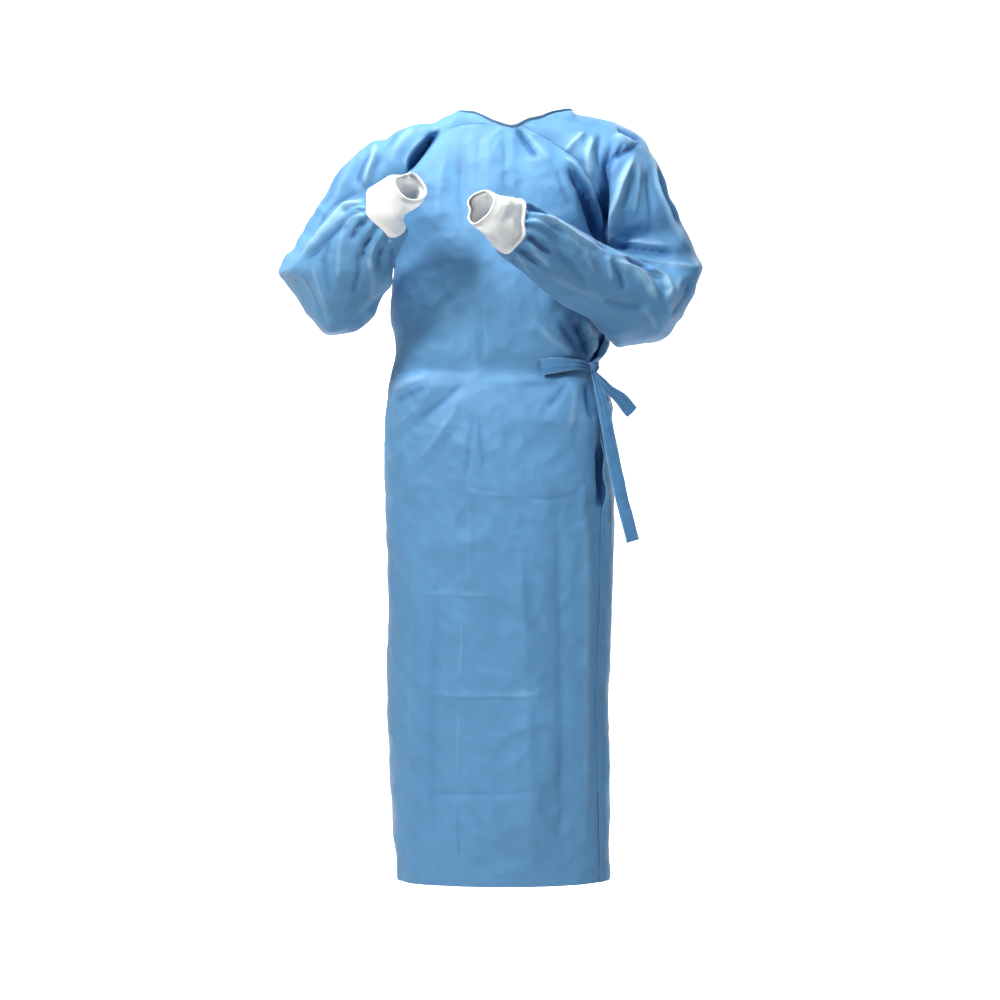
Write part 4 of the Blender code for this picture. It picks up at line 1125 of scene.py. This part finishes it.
knotPlan = {
    # each turn of the ribbon round the knot: its axis across, up and out, its radii, its width and its twist
    "wraps": (
        {"lean": 0.25, "up": 0.0095, "out": 0.0068, "width": 0.0100, "thick": 0.0030,
         "from": -0.75, "to": 1.05, "drift": 0.0035},
        {"lean": -0.9, "up": 0.0092, "out": 0.0050, "width": 0.0085, "thick": 0.0032,
         "from": -0.9, "to": 0.95, "drift": -0.0030},
        {"lean": 1.35, "up": 0.0100, "out": 0.0044, "width": 0.0080, "thick": 0.0034,
         "from": -0.8, "to": 0.9, "drift": 0.0020},
    ),
    "out": (0.5, -0.86, 0.0),  # the way the knot faces
    "rows": 64,
    "columns": 40,
    "squareness": (0.7, 0.8),  # of a wrap's section, across and over: 1 is round, less is squarer
    "pleats": ((0.10, 10, 1), (0.05, 17, 2)),  # strength, number round a wrap, and shift from wrap to wrap
    "ends": (0.06, 6),  # what is left of a wrap's section at its ends, and how late it narrows
    "dent": (0.00035, 0.009, 60),  # height, wavelength and first seed
}


def knotWraps():
    # turns of the gathered ribbon about one middle, each a flattened closed tube with pleats along it
    out = unit(np.array(knotPlan["out"]))
    across, up = unit(np.cross(out, (0, 0, 1))), np.array((0, 0, 1.0))
    share = np.linspace(-1, 1, knotPlan["rows"])
    least, late = knotPlan["ends"]
    taper = np.sqrt(np.clip(1 - share ** late, 0, 1))[:, None, None] * (1 - least) + least
    turn = np.linspace(0, 2 * math.pi, knotPlan["columns"] + 1)
    shape = [np.sign(wave) * abs(wave) ** power
             for wave, power in zip((np.cos(turn), np.sin(turn)), knotPlan["squareness"])]
    height, wavelength, seed = knotPlan["dent"]
    grids = []
    for number, wrap in enumerate(knotPlan["wraps"]):
        turns = np.linspace(wrap["from"], wrap["to"], knotPlan["rows"]) * math.pi
        axis = across * math.cos(wrap["lean"]) + up * math.sin(wrap["lean"])
        centre = knotMiddle + np.outer(np.cos(turns), out) * wrap["out"]
        centre = centre + np.outer(np.sin(turns), np.cross(out, axis)) * wrap["up"]
        centre = centre + np.outer(share, axis) * wrap["drift"]
        ahead = unit(np.gradient(centre, axis=0))
        side = unit(axis - ahead * (ahead @ axis)[:, None])
        over = np.cross(ahead, side)
        pleat = 1 + sum(strength * np.cos(turn * count + shift * number)
                        for strength, count, shift in knotPlan["pleats"])
        grid = centre[:, None]
        for way, wave, size in ((side, shape[0], wrap["width"]), (over, shape[1], wrap["thick"])):
            grid = grid + way[:, None] * (wave * pleat)[None, :, None] * (size / 2 * taper)
        grid = grid + height * softNoise(grid, wavelength, seed + number)[..., None] * over[:, None]
        grids.append(pulledCorners(grid, "tie_knot"))
    return grids


def tubesMesh(name, grids):
    # closed tubes with closed ends, in one mesh
    points, faces = [], []
    for grid in grids:
        rows, columns = grid.shape[0], grid.shape[1] - 1
        base = len(points)
        points += grid[:, :-1].reshape(-1, 3).tolist()
        for row in range(rows - 1):
            for column in range(columns):
                start = base + row * columns
                here, beside = start + column, start + (column + 1) % columns
                faces.append((here, beside, beside + columns, here + columns))
        faces.append(tuple(base + column for column in reversed(range(columns))))
        faces.append(tuple(base + (rows - 1) * columns + column for column in range(columns)))
    piece = meshPiece(name, points, faces)
    work = bmesh.new()
    work.from_mesh(piece.data)
    bmesh.ops.recalc_face_normals(work, faces=work.faces)
    work.to_mesh(piece.data)
    work.free()
    return piece


finished["tie_knot"] = tubesMesh("tieKnot", knotWraps())
print("knot tied")


threads = {}
for name in sorted({line[0] for line in stitchLines}):
    lines = [(line, facing) for host, line, facing in stitchLines if host == name]
    threads[name] = stitchMesh("thread" + name.title().replace("_", ""), lines)
threadFaces = sum(len(piece.data.polygons) for piece in threads.values())
print("stitches:", threadFaces // (3 * stitching["sides"]))


finishes = {
    # the tone of smooth cloth, the painted shade of a deep crease trough and the painted highlight of a crease
    # ridge, then how the surface takes light
    "gownBlue": {"tone": (0.088, 0.238, 0.436), "deep": (0.008, 0.075, 0.235), "pale": (0.40, 0.60, 0.76),
                 "sheen": 0.12, "specular": 0.30, "through": 0.0},
    "bindingBlue": {"tone": (0.06, 0.13, 0.22), "deep": (0.025, 0.08, 0.16), "pale": (0.2, 0.3, 0.4),
                    "sheen": 0.1, "specular": 0.3, "through": 0.0},
    "cuffWhite": {"tone": (0.98, 0.985, 0.985), "sheen": 0.3, "specular": 0.2, "through": 0.6},
    "threadBlue": {"tone": (0.10, 0.26, 0.46), "sheen": 0.0, "specular": 0.4, "through": 0.0},
}
threadRoughness = 0.5  # the other finishes have theirs from their effect
sheenRoughness = 0.45
throughScale = 0.01  # how far light spreads inside, in metres
noiseSpan = (0.3, 0.7)  # between these values a noise mostly lies
nonwovenPlan = {
    # scale and detail of each noise, and the share of the tone from its low to its high places
    "clouds": (38, 5),
    "cloudTone": (0.93, 1.07),
    "broad": (7, 2),
    "broadTone": (0.94, 1.06),
    "fibres": (1500, 3),
    "fibreHeight": 0.8,
    "bonds": {"Scale": 560, "Randomness": 0.18},
    "bondEdge": (0.12, 0.42),
    "bondTone": (0.93, 1.0),
    "troughShade": (-0.12, -1, 0, 0.9),  # crease tones from and to, and how much of the deep tone, a painted shade, they take
    # ridge tones from and to, and how much of the pale highlight colour they take: a painted highlight
    "ridge": (0.2, 1, 0, 0.5),
    "roughness": (0.55, 0.70),
    "bump": (0.35, 0.00012),
}
knitPlan = {
    "loops": {"Scale": 130, "Distortion": 1.5, "Detail": 1},
    "loopTone": (0.86, 1.04),
    "fuzz": (900, 3),
    "clouds": (60, 3),
    "cloudTone": (0.96, 1.02),
    "roughness": (0.8, 0.95),
    "bump": (0.8, 0.0005),
}


def effectGroup(name, **inputs):
    # an empty effect on flat cloth: its tree, its inputs and its outputs
    tree = bpy.data.node_groups.new(name, "ShaderNodeTree")
    outputs = {"Colour": "Color", "Roughness": "Float", "Normal": "Vector"}
    for direction, sockets in (("INPUT", {"Flat": "Vector", **inputs}), ("OUTPUT", outputs)):
        for socket, kind in sockets.items():
            tree.interface.new_socket(name=socket, in_out=direction, socket_type="NodeSocket" + kind)
    start, end = tree.nodes.new("NodeGroupInput"), tree.nodes.new("NodeGroupOutput")
    start.location, end.location = (-900, 0), (900, 0)
    return tree, start.outputs, end.inputs


def textureNode(tree, kind, vector, place, **values):
    node = tree.nodes.new("ShaderNodeTex" + kind)
    node.location = place
    for socket, value in values.items():
        node.inputs[socket].default_value = value
    tree.links.new(vector, node.inputs["Vector"])
    return node


def noiseNode(tree, vector, plan, place):
    return textureNode(tree, "Noise", vector, place, Scale=plan[0], Detail=plan[1]).outputs["Fac"]


def mathNode(tree, operation, first, second, place):
    node = tree.nodes.new("ShaderNodeMath")
    node.operation, node.location = operation, place
    for socket, value in zip(node.inputs, (first, second)):
        if isinstance(value, (int, float)):
            socket.default_value = value
        else:
            tree.links.new(value, socket)
    return node.outputs[0]


def rangeNode(tree, value, low, high, toLow, toHigh, place):
    node = tree.nodes.new("ShaderNodeMapRange")
    node.location = place
    for socket, number in zip(list(node.inputs)[1:5], (low, high, toLow, toHigh)):
        socket.default_value = number
    tree.links.new(value, node.inputs["Value"])
    return node.outputs["Result"]


def scaledColour(tree, colour, factor, place):
    node = tree.nodes.new("ShaderNodeVectorMath")
    node.operation, node.location = "SCALE", place
    tree.links.new(colour, node.inputs[0])
    tree.links.new(factor, node.inputs["Scale"])
    return node.outputs["Vector"]


def mixedColour(tree, factor, first, second, place):
    node = tree.nodes.new("ShaderNodeMix")
    node.data_type, node.location = "RGBA", place
    colours = [socket for socket in node.inputs if socket.type == "RGBA"]
    tree.links.new(factor, node.inputs["Factor"])
    tree.links.new(first, colours[0])
    tree.links.new(second, colours[1])
    return next(socket for socket in node.outputs if socket.type == "RGBA")


def bumpNode(tree, height, strength, distance, place):
    node = tree.nodes.new("ShaderNodeBump")
    node.location = place
    node.inputs["Strength"].default_value = strength
    node.inputs["Distance"].default_value = distance
    tree.links.new(height, node.inputs["Height"])
    return node.outputs["Normal"]


def nonwovenGroup():
    # bonded fibres: small embossed bonds, a faint cloudiness and loose fibres, with painted shade in crease
    # troughs and a painted highlight on crease ridges
    plan = nonwovenPlan
    tree, start, end = effectGroup("nonwovenCloth", Crease="Float", Tone="Color", Deep="Color", Pale="Color")
    flat = start["Flat"]
    bonds = textureNode(tree, "Voronoi", flat, (-650, 250), **plan["bonds"])
    dimple = rangeNode(tree, bonds.outputs["Distance"], *plan["bondEdge"], 0, 1, (-420, 250))
    clouds = noiseNode(tree, flat, plan["clouds"], (-650, 0))
    wide = noiseNode(tree, flat, plan["broad"], (-650, -200))
    fibres = noiseNode(tree, flat, plan["fibres"], (-650, -400))
    tone = rangeNode(tree, clouds, *noiseSpan, *plan["cloudTone"], (-420, 0))
    broad = rangeNode(tree, wide, *noiseSpan, *plan["broadTone"], (-420, -200))
    pressed = rangeNode(tree, dimple, 0, 1, *plan["bondTone"], (-200, 250))
    factor = mathNode(tree, "MULTIPLY", tone, broad, (-200, 0))
    factor = mathNode(tree, "MULTIPLY", factor, pressed, (0, 0))
    # painted shade mixed into crease troughs, painted highlight onto crease ridges
    troughShade = rangeNode(tree, start["Crease"], *plan["troughShade"], (-420, 600))
    ridge = rangeNode(tree, start["Crease"], *plan["ridge"], (-200, 450))
    colour = mixedColour(tree, troughShade, start["Tone"], start["Deep"], (-200, 600))
    colour = mixedColour(tree, ridge, colour, start["Pale"], (0, 500))
    tree.links.new(scaledColour(tree, colour, factor, (250, 100)), end["Colour"])
    tree.links.new(rangeNode(tree, clouds, *noiseSpan, *plan["roughness"], (250, -100)), end["Roughness"])
    raised = mathNode(tree, "MULTIPLY", fibres, plan["fibreHeight"], (-200, -400))
    height = mathNode(tree, "ADD", dimple, raised, (0, -300))
    tree.links.new(bumpNode(tree, height, *plan["bump"], (250, -300)), end["Normal"])
    return tree


def knitGroup():
    # fine loops across the ribs, and a little fuzz
    plan = knitPlan
    tree, start, end = effectGroup("ribKnit", Tone="Color")
    flat = start["Flat"]
    loops = textureNode(tree, "Wave", flat, (-650, 250), **plan["loops"])
    loops.bands_direction = "Y"
    fuzz = noiseNode(tree, flat, plan["fuzz"], (-650, 0))
    clouds = noiseNode(tree, flat, plan["clouds"], (-650, -200))
    loopTone = rangeNode(tree, loops.outputs["Fac"], 0, 1, *plan["loopTone"], (-420, 250))
    cloudTone = rangeNode(tree, clouds, *noiseSpan, *plan["cloudTone"], (-420, -200))
    factor = mathNode(tree, "MULTIPLY", loopTone, cloudTone, (-200, 0))
    tree.links.new(scaledColour(tree, start["Tone"], factor, (250, 100)), end["Colour"])
    tree.links.new(rangeNode(tree, clouds, *noiseSpan, *plan["roughness"], (250, -100)), end["Roughness"])
    height = mathNode(tree, "ADD", loops.outputs["Fac"], fuzz, (0, -300))
    tree.links.new(bumpNode(tree, height, *plan["bump"], (250, -300)), end["Normal"])
    return tree


groups = {"nonwoven": nonwovenGroup(), "knit": knitGroup()}


def finish(name, group, coordinates="UV"):
    values = finishes[name]
    made = bpy.data.materials.new(name)
    made.use_nodes = True
    tree = made.node_tree
    shader = tree.nodes["Principled BSDF"]
    for socket, value in (("Sheen Weight", values["sheen"]), ("Sheen Roughness", sheenRoughness),
                          ("Specular IOR Level", values["specular"]), ("Subsurface Weight", values["through"]),
                          ("Subsurface Radius", (1, 1, 1)), ("Subsurface Scale", throughScale)):
        shader.inputs[socket].default_value = value
    if group is None:
        shader.inputs["Base Color"].default_value = (*values["tone"], 1)
        shader.inputs["Roughness"].default_value = threadRoughness
        return made
    place = tree.nodes.new("ShaderNodeTexCoord")
    place.location = (-700, 0)
    effect = tree.nodes.new("ShaderNodeGroup")
    effect.node_tree = groups[group]
    effect.location = (-400, 0)
    for socket in ("Tone", "Deep", "Pale"):
        if socket.lower() in values:
            effect.inputs[socket].default_value = (*values[socket.lower()], 1)
    # the crease attribute drives the painted shade and highlight
    if "deep" in values:
        crease = tree.nodes.new("ShaderNodeAttribute")
        crease.attribute_name, crease.location = "paintedShadeHighlight", (-700, -300)
        tree.links.new(crease.outputs["Fac"], effect.inputs["Crease"])
    tree.links.new(place.outputs[coordinates], effect.inputs["Flat"])
    for output, socket in (("Colour", "Base Color"), ("Roughness", "Roughness"), ("Normal", "Normal")):
        tree.links.new(effect.outputs[output], shader.inputs[socket])
    return made


gownBlue = finish("gownBlue", "nonwoven")
knotBlue = finish("gownBlue", "nonwoven", "Object")
knotBlue.name = "gownBlueKnot"
bindingBlue = finish("bindingBlue", "nonwoven")
cuffWhite = finish("cuffWhite", "knit")
threadBlue = finish("threadBlue", None)

for name, piece in finished.items():
    made = cuffWhite if name.startswith("cuff") else bindingBlue if name == "neck_binding" else gownBlue
    piece.data.materials.append(knotBlue if name == "tie_knot" else made)
for piece in threads.values():
    piece.data.materials.append(threadBlue)
print("finishes made")


for name, piece in finished.items():
    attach(piece, "root")
    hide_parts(name)
for name, piece in threads.items():
    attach(piece, "root")
print("sheets attached")


studio = {
    "floor": -1.60,
    "backWall": 7.0,
    "curve": 1.8,
    "curveSteps": 17,
    "front": -7.5,
    "wallTop": 5.0,
    "halfWidth": 7.0,
    "floorTone": (0.86, 0.865, 0.87),
    "floorRoughness": 0.9,
    "skyTone": (0.86, 0.88, 0.90),
    # place, aim, size, power in watts and tone of each light
    "lights": {
        "key": {"place": (-1.3, -2.0, 1.2), "aim": (0, 0, -0.2), "size": (0.5, 0.5),
                "power": 106, "tone": (1, 0.97, 0.92)},
        "fill": {"place": (1.7, -1.3, 1.0), "aim": (0.25, -0.1, 0.0), "size": (0.9, 0.9),
                 "power": 24, "tone": (0.78, 0.91, 1)},
        "top": {"place": (-0.5, -0.3, 1.5), "aim": (0, 0.05, -0.3), "size": (0.8, 0.8),
                "power": 55, "tone": (1, 0.98, 0.95)},
        "rear": {"place": (1.6, 3.2, 1.5), "aim": (0, 0, -0.5), "size": (1.5, 1.5),
                 "power": 60, "tone": (1, 0.98, 0.95)},
        "back": {"place": (0, 2.6, 1.6), "aim": (0, 6.2, -1.3), "size": (6.0, 2.0),
                 "power": 620, "tone": (1, 1, 1)},
    },
    "air": 0.055,
    "airTone": (0.34, 0.68, 1.0),
}


def makeFloor():
    # a floor that curves up into a wall
    profile = [(studio["front"], studio["floor"])]
    start, curve = studio["backWall"] - studio["curve"], studio["curve"]
    for turn in np.linspace(0, math.pi / 2, studio["curveSteps"]):
        profile.append((start + curve * math.sin(turn), studio["floor"] + curve * (1 - math.cos(turn))))
    profile.append((studio["backWall"], studio["wallTop"]))
    points = [(x, y, z) for x in (-studio["halfWidth"], studio["halfWidth"]) for y, z in profile]
    count = len(profile)
    faces = [(row, row + count, row + count + 1, row + 1) for row in range(count - 1)]
    floor = meshPiece("studioFloor", points, faces)
    paint = bpy.data.materials.new("floorPaint")
    paint.use_nodes = True
    shader = paint.node_tree.nodes["Principled BSDF"]
    shader.inputs["Base Color"].default_value = (*studio["floorTone"], 1)
    shader.inputs["Roughness"].default_value = studio["floorRoughness"]
    floor.data.materials.append(paint)


def makeLight(name, plan):
    light = bpy.data.lights.new(name + "Light", "AREA")
    light.shape, light.size, light.size_y = "RECTANGLE", *plan["size"]
    light.energy, light.color = plan["power"], plan["tone"]
    body = placed(name + "Light", light)
    body.location = plan["place"]
    aim = Vector(plan["aim"]) - Vector(plan["place"])
    body.rotation_euler = aim.to_track_quat("-Z", "Y").to_euler()


makeFloor()
for name, plan in studio["lights"].items():
    makeLight(name, plan)
world = bpy.data.worlds.new("studioAir")
world.use_nodes = True
sky = world.node_tree
air = sky.nodes["Background"]
air.inputs["Color"].default_value = (*studio["airTone"], 1)
air.inputs["Strength"].default_value = studio["air"]
seen = sky.nodes.new("ShaderNodeBackground")  # what the camera sees beyond the floor
seen.inputs["Color"].default_value = (*studio["skyTone"], 1)
either, rays = sky.nodes.new("ShaderNodeMixShader"), sky.nodes.new("ShaderNodeLightPath")
sky.links.new(rays.outputs["Is Camera Ray"], either.inputs["Fac"])
sky.links.new(air.outputs["Background"], either.inputs[1])
sky.links.new(seen.outputs["Background"], either.inputs[2])
sky.links.new(either.outputs["Shader"], sky.nodes["World Output"].inputs["Surface"])
seen.location, rays.location, either.location = (0, -200), (-200, 300), (200, 100)
sky.nodes["World Output"].location = (450, 100)
bpy.context.scene.world = world
bpy.context.scene.view_settings.view_transform = "Standard"
print("studio lit")
